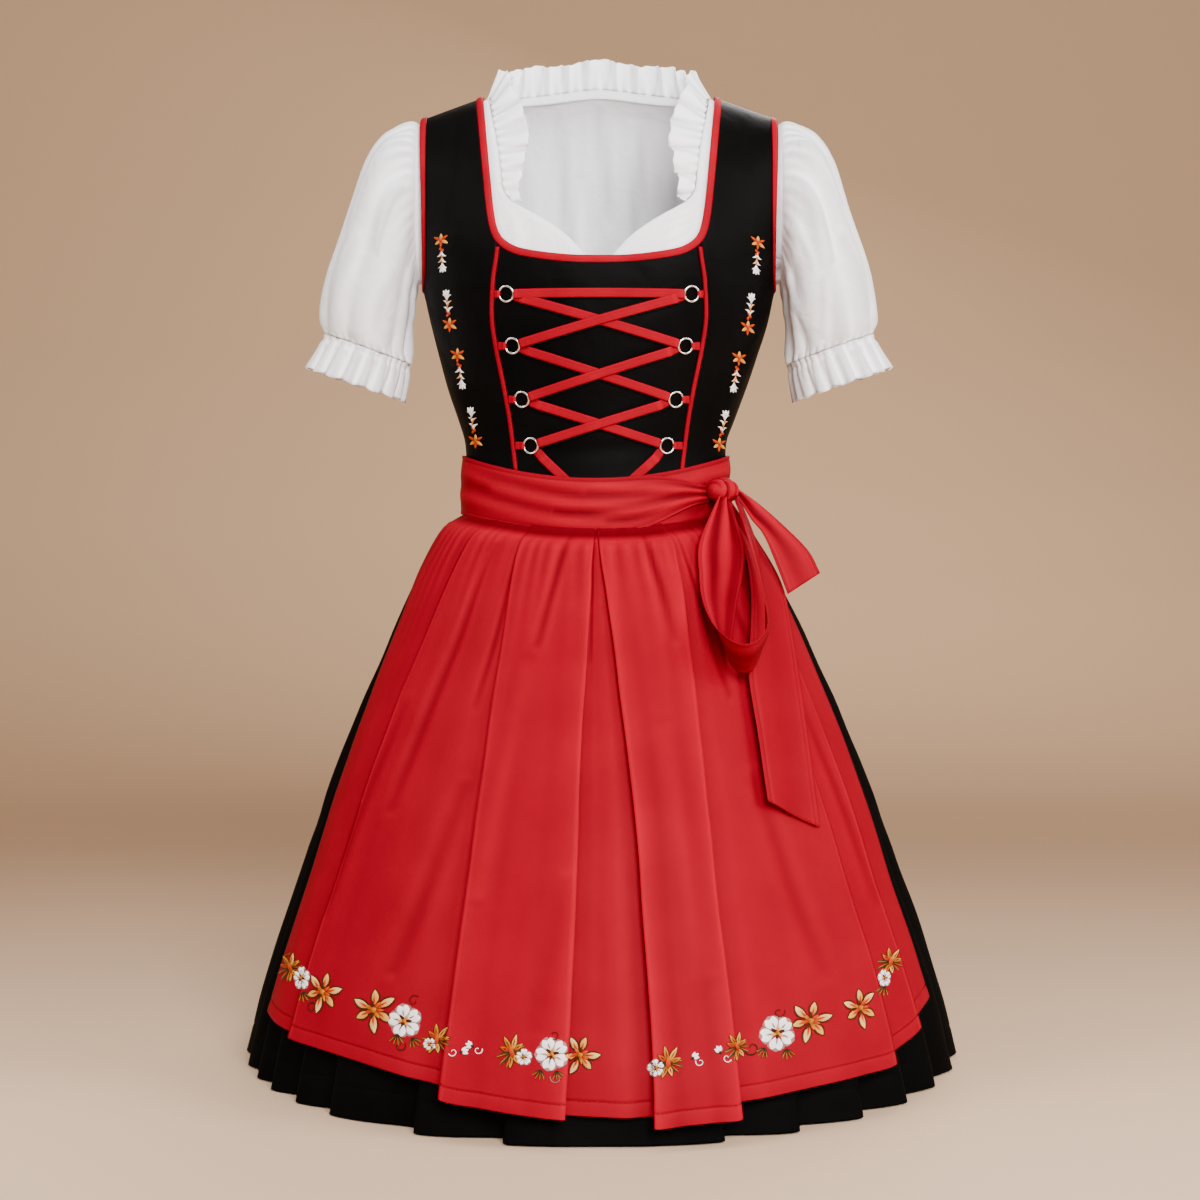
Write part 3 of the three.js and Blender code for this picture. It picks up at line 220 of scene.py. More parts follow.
def body(side, angle, level):
    """The outer face of the bodice. side is -1 in front, 1 behind; angles open to the viewer's right."""
    rise = (level - UNDERARM) / (NECK_POINT - UNDERARM)
    half = read(BODY, level, HALF)
    depth = read(BODY, level, FRONT if side < 0 else BACK)
    height, facing = level, side
    if rise > 0:
        climb = 2 - rise if rise > 1 else rise
        facing = -side if rise > 1 else side
        half += SHOULDER_SPREAD * climb ** 1.2
        from_neck = math.hypot(half * math.sin(angle), CREST_ROUNDING) - CREST_ROUNDING
        crest = SHOULDER_CREST - SHOULDER_SLOPE * from_neck
        height = mixed(UNDERARM, crest, climb)
        bent = climb ** (CHEST_ROUND if facing < 0 else BACK_ROUND)
        depth = BODY[-1][FRONT if facing < 0 else BACK] * max(0.0, 1 - bent) ** TURN_OVER
    swell = 0.0
    if facing < 0:
        lobes = sum(math.exp(-(((angle - middle) / BUST_SPREAD) ** 2)) for middle in (BUST_ANGLE, -BUST_ANGLE))
        swell = BUST_EASE * lobes * math.exp(-(((height - BUST_HEIGHT) / BUST_REACH) ** 2))
    return Vector((read(BODY, level, LEAN) + (half + swell) * math.sin(angle),
                   facing * (depth + swell) * math.cos(angle) + side * SEAM_GAP / 2, height))


def off_body(side, angle, level, out=0.0):
    """The same place moved out of the form, and the form's outward direction there."""
    across = body(side, angle + 0.02, level) - body(side, angle - 0.02, level)
    up = body(side, angle, level + 1.5) - body(side, angle, level - 1.5)
    outward = across.cross(up).normalized() * -side
    return body(side, angle, level) + outward * out, outward


def angle_of(side, x, level):
    """The angle at which the form lies at x."""
    angle = 0.0
    for _ in range(12):
        here = body(side, angle, level).x
        rate = (body(side, angle + 0.001, level).x - here) / 0.001
        angle = min(math.pi / 2, max(-math.pi / 2, angle + (x - here) / max(rate, 20.0)))
    return angle


def armhole_angle(side, hand, level, garment):
    if level <= UNDERARM:
        return hand * math.pi / 2
    return angle_of(side, hand * read(ARMHOLES, level, garment), level)


def closer(levels, step):
    """A list of levels with more between them, none further apart than a step."""
    made = [levels[0]]
    for low, high in zip(levels, levels[1:]):
        count = max(1, math.ceil((high - low) / step))
        made += [mixed(low, high, k / count) for k in range(1, count + 1)]
    return made


def woven(name, colour, roughness, pitch, relief, mottle, gloss, creasing, crease_size, shade=0.35):
    """Cloth with its own threads in the piece's UVs, faint rubbed and creased patches, painted shade in its
    hollows and a faint painted highlight on its ridges.
    """
    look, tree, shader = new_look(name)
    join = tree.links.new
    shader.inputs["Roughness"].default_value = roughness
    shader.inputs["Specular IOR Level"].default_value = gloss
    spot = node(tree, "TexCoord")
    patches = node(tree, "TexNoise", {"Scale": 22.0, "Detail": 5.0})
    tint = ramp(tree, [(0.3, [c * (1 - mottle) for c in colour]),
                       (0.72, [min(1.0, c * (1 + mottle)) for c in colour])])
    join(spot.outputs["Object"], patches.inputs["Vector"])
    join(patches.outputs["Fac"], tint.inputs["Fac"])
    # painted shade: the colour is darkened in the cloth's hollows by up to shade, and lightened on its ridges
    # by a fifth of that as a painted highlight
    painted_hollow_shade = node(tree, "Attribute")
    painted_hollow_shade.attribute_name = "painted_hollow_shade"
    painted_shade_scale = node(tree, "MapRange", {"From Min": -1.0, "To Min": 1 + 0.2 * shade, "To Max": 1 - shade})
    toned = node(tree, "VectorMath")
    toned.operation = "SCALE"
    join(painted_hollow_shade.outputs["Fac"], painted_shade_scale.inputs["Value"])
    join(painted_shade_scale.outputs["Result"], toned.inputs["Scale"])
    join(tint.outputs["Color"], toned.inputs[0])
    join(toned.outputs["Vector"], shader.inputs["Base Color"])
    weave = node(tree, "Math")
    weave.operation = "MULTIPLY"
    for k, direction in enumerate("XY"):
        threads = node(tree, "TexWave", {"Scale": 314.0 / pitch, "Distortion": 0.6})
        threads.bands_direction = direction
        join(spot.outputs["UV"], threads.inputs["Vector"])
        join(threads.outputs["Fac"], weave.inputs[k])
    fine = node(tree, "Bump", {"Strength": relief, "Distance": 0.00012})
    wrinkles = node(tree, "TexNoise", {"Scale": 1000.0 / crease_size, "Detail": 3.0, "Distortion": 0.6})
    soft = node(tree, "Bump", {"Strength": creasing, "Distance": 0.0025})
    join(weave.outputs[0], fine.inputs["Height"])
    join(spot.outputs["Object"], wrinkles.inputs["Vector"])
    join(wrinkles.outputs["Fac"], soft.inputs["Height"])
    join(fine.outputs["Normal"], soft.inputs["Normal"])
    join(soft.outputs["Normal"], shader.inputs["Normal"])
    return look


def crease(places, normals, ends, width, depth):
    """Pushes one crease into a flat-laid cloth: a soft trough along a line, fading out at its ends."""
    (u0, v0), (u1, v1) = ends
    along = Vector((u1 - u0, v1 - v0))
    reach = along.length_squared
    for vert, (u, v) in places.items():
        t = ((u - u0) * along.x + (v - v0) * along.y) / reach
        if not 0 < t < 1:
            continue
        off = math.hypot(u - u0 - along.x * t, v - v0 - along.y * t)
        if off < 3 * width:
            vert.co -= normals[vert] * depth * math.exp(-((off / width) ** 2)) * math.sqrt(4 * t * (1 - t))


# a spot is compared with the cloth this far on either side of it, and gets the full painted shade this far
# below that
HOLLOW_SPAN, HOLLOW_DEPTH = 4.5, 1.1


def cloth(name, columns, rows, place, thick, look, creases=(), tube=False, uneven=0.5):
    """One cut piece of cloth: a grid laid on its form, creased along the listed creases, with a wall inward of
    it.
    A crease is its two ends, as shares of the width and the height, and its width and depth in millimetres."""
    bm = bmesh.new()
    painted_hollow_shade = bm.verts.layers.float.new("painted_hollow_shade")
    bmesh.ops.create_grid(bm, x_segments=columns, y_segments=rows, size=0.5)
    spots = {v: (round((v.co.x + 0.5) * columns), round((v.co.y + 0.5) * rows)) for v in bm.verts}
    at = {}
    for vert, (i, j) in spots.items():
        vert.co = place(i, j)
        at[i, j] = vert.co.copy()
    wide, tall = [0.0], [0.0]
    for i in range(columns):
        wide.append(wide[-1] + (at[i + 1, rows // 2] - at[i, rows // 2]).length)
    for j in range(rows):
        tall.append(tall[-1] + (at[columns // 2, j + 1] - at[columns // 2, j]).length)
    flat = bm.loops.layers.uv.new("UVMap")
    for face in bm.faces:
        face.smooth = True
        for loop in face.loops:
            i, j = spots[loop.vert]
            loop[flat].uv = (wide[i] / 1000, tall[j] / 1000)
    bm.normal_update()
    places = {vert: (wide[i], tall[j]) for vert, (i, j) in spots.items()}
    normals = {vert: vert.normal.copy() for vert in bm.verts}
    if tube:
        for vert, (i, j) in spots.items():
            if i in (0, columns):
                twin = next(v for v, s in spots.items() if s == (columns - i, j))
                normals[vert] = (normals[vert] + normals[twin]) / 2
    for u0, v0, u1, v1, width, depth in creases:
        crease(places, normals, ((u0 * wide[-1], v0 * tall[-1]), (u1 * wide[-1], v1 * tall[-1])), width, depth)
    # how deep each spot lies below the cloth around it, kept as an attribute that the material turns into
    # painted shade in hollows and a faint painted highlight on ridges
    lying = {spots[vert]: vert.co.copy() for vert in bm.verts}
    near = (max(1, round(HOLLOW_SPAN * columns / wide[-1])), max(1, round(HOLLOW_SPAN * rows / tall[-1])))
    for vert, (i, j) in spots.items():
        sunk = 0.0
        for di, dj in ((near[0], 0), (0, near[1])):
            ends = [((i + k * di) % columns if tube else i + k * di, j + k * dj) for k in (-1, 1)]
            if all(end in lying for end in ends):
                sunk += ((lying[ends[0]] + lying[ends[1]]) / 2 - lying[i, j]).dot(normals[vert])
        vert[painted_hollow_shade] = min(1.0, max(-1.0, sunk / HOLLOW_DEPTH))
        vert.co += normals[vert] * uneven * noise.noise(at[i, j] * 0.021)
        vert.co = in_frame(vert.co)
    if tube:
        bmesh.ops.remove_doubles(bm, verts=bm.verts, dist=1e-5)
    piece = stood(name, bm, [look], "_cloth")
    wall = piece.modifiers.new("wall", "SOLIDIFY")
    wall.thickness, wall.offset, wall.use_quality_normals = thick / 1000, -1, True
    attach(piece, "root")
    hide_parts(name)
    return piece


def shoulder_piece(name, side, hand, columns, levels, inner, garment, out, thick, look, creases, uneven):
    """A piece from an inner edge, at the middle, a seam or the neckline, to the side seam or the armhole."""
    edges = [(angle_of(side, hand * inner(level), level), armhole_angle(side, hand, level, garment))
             for level in levels]

    def place(i, j):
        share = i / columns if side * hand < 0 else 1 - i / columns
        return off_body(side, mixed(*edges[j], share), levels[j], out(share))[0]

    return cloth(name, columns, len(levels) - 1, place, thick, look, creases, uneven=uneven)


def flipped(creases, flip):
    """Creases as they are, or the other way round for the piece on the other side."""
    return [(1 - u0, v0, 1 - u1, v1, w, d) if flip else (u0, v0, u1, v1, w, d)
            for u0, v0, u1, v1, w, d in creases]


white_cotton = woven("white_cotton", (0.92, 0.915, 0.95), 0.9, 0.42, relief=0.3, mottle=0.02, gloss=0.12,
                     creasing=0.75, crease_size=19.0, shade=0.32)
FRONT_CREASES = [
    (0.10, 0.62, 0.55, 0.40, 5, 1.0), (0.30, 0.55, 0.85, 0.46, 6, 0.9), (0.08, 0.52, 0.40, 0.30, 4, -0.7),
    (0.55, 0.95, 0.70, 0.60, 5, 0.7), (0.85, 0.80, 0.60, 0.50, 6, 0.8),
]
for hand, part in ((1, "right"), (-1, "left")):
    front = shoulder_piece(
        f"blouse_front_{part}", -1, hand, 22, closer([row[0] for row in BLOUSE_EDGE], 7.0),
        lambda level: read(BLOUSE_EDGE, level), BLOUSE_ARMHOLE,
        lambda share: -mixed(*BLOUSE_IN, eased(share)), 0.7, white_cotton,
        flipped(FRONT_CREASES, hand < 0), 0.5)


def back_top(share):
    return mixed(BACK_NECK_LEVEL, NECK_POINT, min(1.0, abs(share) / NECK_SHARE) ** 2)


def back_blouse(share, level):
    """A place on the blouse's back, share of the way from its middle to an armhole."""
    inward = mixed(*BLOUSE_IN, eased(abs(share)))
    return off_body(1, share * armhole_angle(1, 1, level, BLOUSE_ARMHOLE), level, -inward)[0]


BACK_LEVELS = closer([655, 700, 740, 757, 790, 830, 868, 890, 905, 915, 921, 924], 8.0)
BACK_COLUMNS = 48


def blouse_back_place(i, j):
    share, level = 1 - 2 * i / BACK_COLUMNS, BACK_LEVELS[j]
    if level > DIP_FROM:
        level = DIP_FROM + (level - DIP_FROM) * (back_top(share) - DIP_FROM) / (NECK_POINT - DIP_FROM)
    return back_blouse(share, level)


BACK_CREASES = [
    (0.50, 0.98, 0.47, 0.55, 9, 1.6), (0.36, 0.97, 0.42, 0.35, 8, 1.3), (0.62, 0.98, 0.57, 0.30, 8, 1.4),
    (0.26, 0.80, 0.34, 0.30, 10, 1.6), (0.73, 0.85, 0.66, 0.25, 10, 1.5), (0.45, 0.50, 0.60, 0.20, 9, 1.2),
    (0.12, 0.75, 0.30, 0.55, 7, 1.1), (0.88, 0.74, 0.70, 0.52, 7, 1.2), (0.55, 0.70, 0.53, 0.10, 10, -1.2),
]
blouse_back = cloth("blouse_back", BACK_COLUMNS, len(BACK_LEVELS) - 1, blouse_back_place, 0.7, white_cotton,
                    BACK_CREASES, uneven=0.8)


# The blouse's neck: a narrow doubled band on the back neck, and a gathered strip of the same cotton that
# stands up behind the neck, turns over on the shoulders and runs down both front edges. Its gathers are
# waves that grow from the seam to the free edge, no two of the same depth.
BAND_HEIGHT, RUFFLE_WIDTH, COLLAR_WAVES = 9.0, 30.0, 24
COLLAR_FROM = 8              # the row of the front edge where the collar begins


def band_place(share, height):
    foot = back_blouse(share, back_top(share))
    lean = (share / NECK_SHARE) ** 3
    up = Vector((-0.45 * lean, 0.1, 1)).normalized()
    tall = mixed(1.5, BAND_HEIGHT, 1 - (share / NECK_SHARE) ** 4)
    return foot + up * (height * (tall + 3.0) - 1.6)


BAND_COLUMNS = 56
neckband = cloth(
    "blouse_neckband", BAND_COLUMNS, 6,
    lambda i, j: band_place(NECK_SHARE * (1 - 2 * i / BAND_COLUMNS), j / 6)
    + Vector((0, 0.9 - 0.7 * math.exp(-((j / 6 - 0.2) / 0.08) ** 2), 0)),
    0.9, white_cotton, uneven=0.3)


def collar_seam():
    """The seam that carries the collar, from the right front edge round the neck, and how far it turns up."""
    seam = []
    for level, x in BLOUSE_EDGE[COLLAR_FROM:-1]:
        sideways = x - mixed(0.6, 3, eased((level - 890) / 34))
        seam.append((off_body(-1, angle_of(-1, sideways, level), level, -BLOUSE_IN[0])[0],
                     0.5 * eased((level - 870) / 54)))
    for k in range(13):
        on_band = band_place(NECK_SHARE * (1 - k / 12), 0.82) + Vector((0, -0.3, 0))
        seam.append((on_band, mixed(0.62, 1, eased(k / 5))))
    return seam + [(Vector((-p.x, p.y, p.z)), turn) for p, turn in reversed(seam[:-1])]


def evenly(points):
    """A list of points walked at even speed, from 0 at one end to 1 at the other."""
    runs = [0.0]
    for a, b in zip(points, points[1:]):
        runs.append(runs[-1] + (b - a).length)

    def walk(share):
        wanted, k = min(1.0, max(0.0, share)) * runs[-1], 1
        while k < len(points) - 1 and runs[k] < wanted:
            k += 1
        part = (wanted - runs[k - 1]) / (runs[k] - runs[k - 1])
        return k, part, points[k - 1].lerp(points[k], part)

    return walk


def gathers(turn, count, seed):
    """Waves of uneven length and depth, as gathered cloth has them."""
    return (math.cos(count * turn + 0.9 * math.sin(2 * turn + seed) + 0.5 * math.sin(5 * turn + 2 * seed))
            * (0.72 + 0.28 * math.sin(3 * turn + 1.7 * seed)))


SEAM = collar_seam()
walk_seam = evenly([point for point, _ in SEAM])
COLLAR_COLUMNS, COLLAR_ROWS = 336, 12


def collar_place(i, j):
    share, free = i / COLLAR_COLUMNS, j / COLLAR_ROWS
    k, part, seam = walk_seam(share)
    turn = mixed(SEAM[k - 1][1], SEAM[k][1], part)
    sign = 1 if share < 0.5 else -1
    flat_way, flat_face = Vector((-sign, -0.05, 0.1)), Vector((0.2 * sign, -1, 0.1))
    half_way, half_face = Vector((-0.6 * sign, 0.1, 0.85)), Vector((0.85 * sign, 0, 0.5))
    up_way, up_face = Vector((0, 0.16, 1)), Vector((0, 1, 0))
    if turn < 0.5:
        way, face = flat_way.lerp(half_way, turn * 2), flat_face.lerp(half_face, turn * 2)
    else:
        way, face = half_way.lerp(up_way, turn * 2 - 1), half_face.lerp(up_face, turn * 2 - 1)
    ends = min(share, 1 - share) * COLLAR_WAVES / 2.5
    width = RUFFLE_WIDTH * min(1.0, 0.25 + 0.75 * ends) * (1 + 0.05 * math.sin(17 * share * math.pi))
    phase = 2 * math.pi * share
    tight = gathers(phase, COLLAR_WAVES, 0.6)
    wave = math.copysign(abs(tight) ** 0.7, tight) * mixed(1.0, 4.9, free)
    wave += math.cos(phase * COLLAR_WAVES * 2.5 + 1) * 1.1 * math.exp(-free * 3.5)
    lean = (3.4 * gathers(phase - 0.052, COLLAR_WAVES, 0.6) + 0.9 * math.sin(phase * 61)) * free ** 0.7
    width += (1.5 * gathers(phase + 0.03, COLLAR_WAVES, 0.6) + 0.6 * math.sin(phase * 67 + 2)) * free
    along = (walk_seam(share + 0.004)[2] - walk_seam(share - 0.004)[2]).normalized()
    return seam + way.normalized() * width * free + face.normalized() * wave + along * lean


collar = cloth("blouse_collar", COLLAR_COLUMNS, COLLAR_ROWS, collar_place, 0.5, white_cotton)


# The sleeves: puffed tubes of the same cotton, gathered into the armhole and again into a narrow elastic
# above the elbow, where a ruffled cuff flares out. A tube runs through sections that tilt from the upright
# armhole to the slanting elastic; its folds fade in the middle of the puff.
OUT_X, OUT_HEIGHT, IN_X, IN_HEIGHT, DEEP, GATHER, FOLLOW = 1, 2, 3, 4, 5, 6, 7
# station, outermost and innermost point, half depth, depth of the folds, and how far the armhole is left behind
SLEEVE = [
    (0, 176.5, 902, 176.5, 740.8, 47, 0, 0), (1, 191, 900, 178, 737, 55, 1.4, 0.6),
    (2, 210, 886, 179, 730, 61, 2.4, 1), (3, 228, 856, 180.5, 722, 65, 2.2, 1),
    (4, 244, 812, 182, 712, 66, 1.6, 1), (5, 263, 755, 183.8, 697, 64, 1.6, 1),
    (6, 270.5, 708, 185.5, 676, 56, 2.6, 1), (7, 267, 692, 186, 663, 49, 1.6, 1),
]
CUFF = [(0, 266.9, 691.3, 186.2, 662.3, 49, 1.6, 1), (1, 275, 676, 189.5, 645, 51, 2.8, 1),
        (2, 285, 658, 194, 627, 55, 4.2, 1)]
SLEEVE_COLUMNS, SLEEVE_ROWS, CUFF_COLUMNS, CUFF_ROWS = 176, 48, 210, 14


def armhole_loop():
    """The blouse's armhole seam, from under the arm up the front, over the shoulder and down the back."""
    up = [level for level, _ in BLOUSE_EDGE if level > 742]
    down = (745, 757, 790, 830, 868, 890, 905, 915, 921)
    front = [off_body(-1, armhole_angle(-1, 1, level, BLOUSE_ARMHOLE), level, -BLOUSE_IN[1])[0] for level in up]
    back = [off_body(1, armhole_angle(1, 1, level, BLOUSE_ARMHOLE), level, -BLOUSE_IN[1])[0] for level in down]
    under = Vector((front[0].x, 0, SLEEVE[0][IN_HEIGHT]))
    return [under, *front, *reversed(back), under]


walk_armhole = evenly(armhole_loop())


def section(table, station, turn, wave):
    far = Vector((read(table, station, OUT_X), 0, read(table, station, OUT_HEIGHT)))
    near = Vector((read(table, station, IN_X), 0, read(table, station, IN_HEIGHT)))
    middle, half = (far + near) / 2, (far - near) / 2
    deep = read(table, station, DEEP)
    return (middle - half.normalized() * math.cos(turn) * (half.length + wave)
            + Vector((0, 1, 0)) * math.sin(turn) * (deep + wave))


def sleeve_place(i, j):
    turn, down = 2 * math.pi * i / SLEEVE_COLUMNS, 1 - j / SLEEVE_ROWS
    start = walk_armhole(1 - i / SLEEVE_COLUMNS)[2]
    if j == SLEEVE_ROWS:
        return start + Vector((0.6, 0, 0))
    station = 7 * down ** 1.1
    fine = 1.2 * math.exp(-((station - 0.9) / 0.8) ** 2) + 1.5 * math.exp(-((7 - station) / 0.45) ** 2)
    wave = read(SLEEVE, station, GATHER) * 1.35 * gathers(turn + 0.05 * math.sin(station), 11, 1.3)
    wave += 1.2 * fine * gathers(turn, 37, 2.1) + 0.9 * math.sin(2.3 * station + 3 * math.sin(turn * 2))
    wave *= min(1.0, station / 0.5)
    start.x = read(SLEEVE, station, IN_X)
    return start.lerp(section(SLEEVE, station, turn, wave), min(1.0, max(0.0, read(SLEEVE, station, FOLLOW))))


def cuff_place(i, j):
    turn, down = 2 * math.pi * i / CUFF_COLUMNS, 1 - j / CUFF_ROWS
    wave = read(CUFF, 2 * down, GATHER) * 1.15 * gathers(turn, 19, 0.4)
    wave += 1.3 * (1 - down) * gathers(turn, 37, 2.1)
    wave -= 1.4 * math.exp(-((down - 0.16) / 0.07) ** 2)
    return section(CUFF, 2 * down, turn, wave) + Vector((0, 0, 1.2 * down * math.sin(14 * turn + 0.6)))


def mirrored(place, columns):
    """The same piece for the other arm."""
    def other(i, j):
        point = place(columns - i, j)
        return Vector((-point.x, point.y, point.z))
    return other


SLEEVE_CREASES = [
    (0.62, 0.93, 0.58, 0.55, 6, 2.2), (0.70, 0.94, 0.72, 0.40, 7, 2.4), (0.80, 0.93, 0.79, 0.50, 6, 2.0),
    (0.55, 0.95, 0.50, 0.60, 6, 2.0), (0.40, 0.94, 0.42, 0.45, 7, 2.2), (0.28, 0.93, 0.25, 0.50, 6, 2.1),
    (0.66, 0.50, 0.64, 0.08, 8, 2.0), (0.77, 0.42, 0.80, 0.05, 8, 2.2), (0.90, 0.60, 0.86, 0.12, 7, 1.8),
    (0.33, 0.48, 0.36, 0.06, 8, 2.1), (0.18, 0.62, 0.20, 0.10, 8, 2.0), (0.50, 0.40, 0.52, 0.06, 8, -1.6),
]
for part, on_its_side in (("right", lambda place, columns: place), ("left", mirrored)):
    sleeve = cloth(f"sleeve_{part}", SLEEVE_COLUMNS, SLEEVE_ROWS, on_its_side(sleeve_place, SLEEVE_COLUMNS),
                   0.6, white_cotton, SLEEVE_CREASES, tube=True, uneven=1.2)
    cuff = cloth(f"cuff_{part}", CUFF_COLUMNS, CUFF_ROWS, on_its_side(cuff_place, CUFF_COLUMNS), 0.6,
                 white_cotton, tube=True)


# The bodice: black cotton with a little gloss, in a centre panel, two side fronts with their straps and two
# backs. It is lined and fits closely, so it lies almost smooth on the body, with soft pulls towards the
# rings and under the arms.
WAIST, CORNER_X, CORNER_LEVEL = 528.0, 93.0, 777.0
# sideways place and level of the neckline, from the middle to the shoulder
NECKLINE = [
    (0, 754.2), (25, 755), (50, 758), (70, 762), (80, 765.6), (88, 770.9), (93, 777), (96.3, 785.5),
    (98.3, 795.4), (100.3, 809.3), (103.5, 838.2), (106.5, 866.4), (109, 888.9), (111, 904.5), (112.3, 915),
    (113, 921), (113.2, 924),
]
CORNER_ROW = 6
BACK_NECKLINE = [
    (0, 852), (45, 854), (70, 858), (88, 866), (99, 880), (106, 893), (109.5, 905), (112, 915), (113, 921),
    (113.2, 924),
]
# level and sideways place of the seam beside the centre panel
PANEL_SEAM = [
    (528, 75), (573, 80), (590, 82), (612, 85), (640, 90), (670, 96), (700, 100.2), (735, 99), (745, 97.6),
    (757, 95.6), (777, 93),
]
CENTRE_COLUMNS = 44
CENTRE_LEVELS = closer([row[0] for row in PANEL_SEAM], 6.0)


def strap_inner(level):
    """Where a side front begins: at its seam, and above that at the neckline."""
    if level <= CORNER_LEVEL:
        return read(PANEL_SEAM, level) + SEAM_GAP / 2
    return read([(row[1], row[0]) for row in NECKLINE[CORNER_ROW:]], level)


def back_inner(level):
    if level <= BACK_NECKLINE[0][1]:
        return SEAM_GAP / 2
    return read([(row[1], row[0]) for row in BACK_NECKLINE], level)


def centre_place(i, j):
    share = i / CENTRE_COLUMNS
    top = read(NECKLINE[:CORNER_ROW + 1], abs(CORNER_X * (2 * share - 1)))
    level = WAIST + (CENTRE_LEVELS[j] - WAIST) * (top - WAIST) / (CORNER_LEVEL - WAIST)
    edge = read(PANEL_SEAM, level) - SEAM_GAP / 2
    return off_body(-1, mixed(angle_of(-1, -edge, level), angle_of(-1, edge, level), share), level)[0]


black_cotton = woven("black_cotton", (0.0012, 0.0011, 0.0011), 0.46, 0.55, relief=0.35, mottle=0.3, gloss=0.03,
                     creasing=0.45, crease_size=34.0)
CENTRE_CREASES = [
    (0.04, 0.80, 0.40, 0.76, 5, 0.6), (0.96, 0.80, 0.58, 0.77, 5, 0.6), (0.06, 0.58, 0.38, 0.60, 6, 0.7),
    (0.94, 0.59, 0.64, 0.57, 6, 0.7), (0.08, 0.38, 0.42, 0.33, 6, 0.8), (0.92, 0.37, 0.60, 0.34, 6, 0.7),
    (0.15, 0.20, 0.80, 0.23, 7, 0.8), (0.30, 0.95, 0.34, 0.55, 9, 0.6), (0.70, 0.95, 0.66, 0.62, 9, 0.6),
]
centre = cloth("bodice_center_front", CENTRE_COLUMNS, len(CENTRE_LEVELS) - 1, centre_place, 0.9, black_cotton,
               CENTRE_CREASES, uneven=0.4)
SIDE_CREASES = [
    (0.10, 0.10, 0.80, 0.16, 5, 0.9), (0.20, 0.24, 0.95, 0.28, 6, 0.8), (0.95, 0.48, 0.40, 0.40, 7, 1.0),
    (0.55, 0.50, 0.45, 0.18, 8, 0.7), (0.90, 0.40, 0.55, 0.30, 6, 0.7), (0.40, 0.92, 0.55, 0.62, 6, 0.8),
]
BACK_FOLDS = [
    (0.15, 0.10, 0.85, 0.15, 6, 1.0), (0.10, 0.22, 0.75, 0.27, 7, 1.0), (0.30, 0.46, 0.60, 0.30, 7, 0.9),
    (0.55, 0.52, 0.50, 0.12, 9, 1.1), (0.20, 0.60, 0.70, 0.50, 6, 0.7), (0.40, 0.90, 0.55, 0.66, 6, 0.8),
]
SIDE_LEVELS = closer([*[row[0] for row in PANEL_SEAM], *[row[1] for row in NECKLINE[CORNER_ROW + 1:]]], 6.0)
BACK_STEPS = closer([528, 573, 612, 640, 670, 700, 735, 757, 790, 825, *[row[1] for row in BACK_NECKLINE]], 6.5)

for hand, part in ((1, "right"), (-1, "left")):
    side_front = shoulder_piece(f"bodice_side_front_{part}", -1, hand, 20, SIDE_LEVELS, strap_inner,
                                BODICE_ARMHOLE, lambda share: 0.0, 0.9, black_cotton,
                                flipped(SIDE_CREASES, hand < 0), 0.5)
    back = shoulder_piece(f"bodice_back_{part}", 1, hand, 24, BACK_STEPS, back_inner, BODICE_ARMHOLE,
                          lambda share: 0.0, 0.9, black_cotton,
                          flipped(BACK_FOLDS, hand > 0), 0.6)


# The red edges: a cotton tape folded over the neckline and the armholes and stitched down near its edge,
# and a narrow piping sewn over the seams beside the centre panel. Front and back tapes meet on the
# shoulder seam.

# into the cloth, and out from it: the tape's section, from its hem in front over the edge to the inside
TAPE = [
    (6.6, 0.4), (6.4, 0.85), (5.9, 1.15), (5.5, 0.95), (5.1, 1.2), (3.8, 1.4), (2.2, 1.45), (0.7, 1.2),
    (-0.3, 0.6), (-0.55, -0.4), (0.0, -1.2), (1.2, -1.45), (3.4, -1.4), (5.6, -1.3),
]
red_tape = woven("red_tape", (0.235, 0.0, 0.0085), 0.55, 0.5, relief=0.45, mottle=0.14, gloss=0.02,
                 creasing=0.15, crease_size=9.0)


def edge_tape(name, side, spots):
    """A tape folded over a cloth edge. The edge runs along the spots with the cloth on its right."""
    lay = [off_body(side, angle, level) for angle, level in spots]

    def place(i, j):
        point, outward = lay[i]
        course = lay[min(len(lay) - 1, i + 1)][0] - lay[max(0, i - 1)][0]
        into, out = TAPE[j]
        return point + course.cross(outward).normalized() * into + outward * out

    tape = cloth(name, len(spots) - 1, len(TAPE) - 1, place, 0.3, red_tape, uneven=0.15)
    run = sum((b[0] - a[0]).length for a, b in zip(lay, lay[1:])) / 1000


def neck_spots(side, rows):
    """The neckline's edge in even steps of its table, as angles and levels, from one shoulder to the other."""
    steps = 5
    numbered = [(k, *row) for k, row in enumerate(rows)]
    half = [(read(numbered, k / steps, 1), read(numbered, k / steps, 2))
            for k in range((len(rows) - 1) * steps + 1)]
    right = [(angle_of(side, x, level), level) for x, level in half]
    left = [(angle_of(side, -x, level), level) for x, level in half[:0:-1]]
    return left + right if side < 0 else (left + right)[::-1]


edge_tape("binding_neck_front", -1, neck_spots(-1, NECKLINE))
edge_tape("binding_neck_back", 1, neck_spots(1, BACK_NECKLINE))
ARMHOLE_TAPE_LOW, ARMHOLE_STEPS = 737.0, 42
climb = [mixed(ARMHOLE_TAPE_LOW, NECK_POINT, k / ARMHOLE_STEPS) for k in range(ARMHOLE_STEPS + 1)]
for side, where in ((-1, "front"), (1, "back")):
    for hand, part in ((1, "right"), (-1, "left")):
        spots = [(armhole_angle(side, hand, level, BODICE_ARMHOLE), level) for level in climb]
        edge_tape(f"binding_armhole_{where}_{part}", side, spots if side * hand > 0 else spots[::-1])

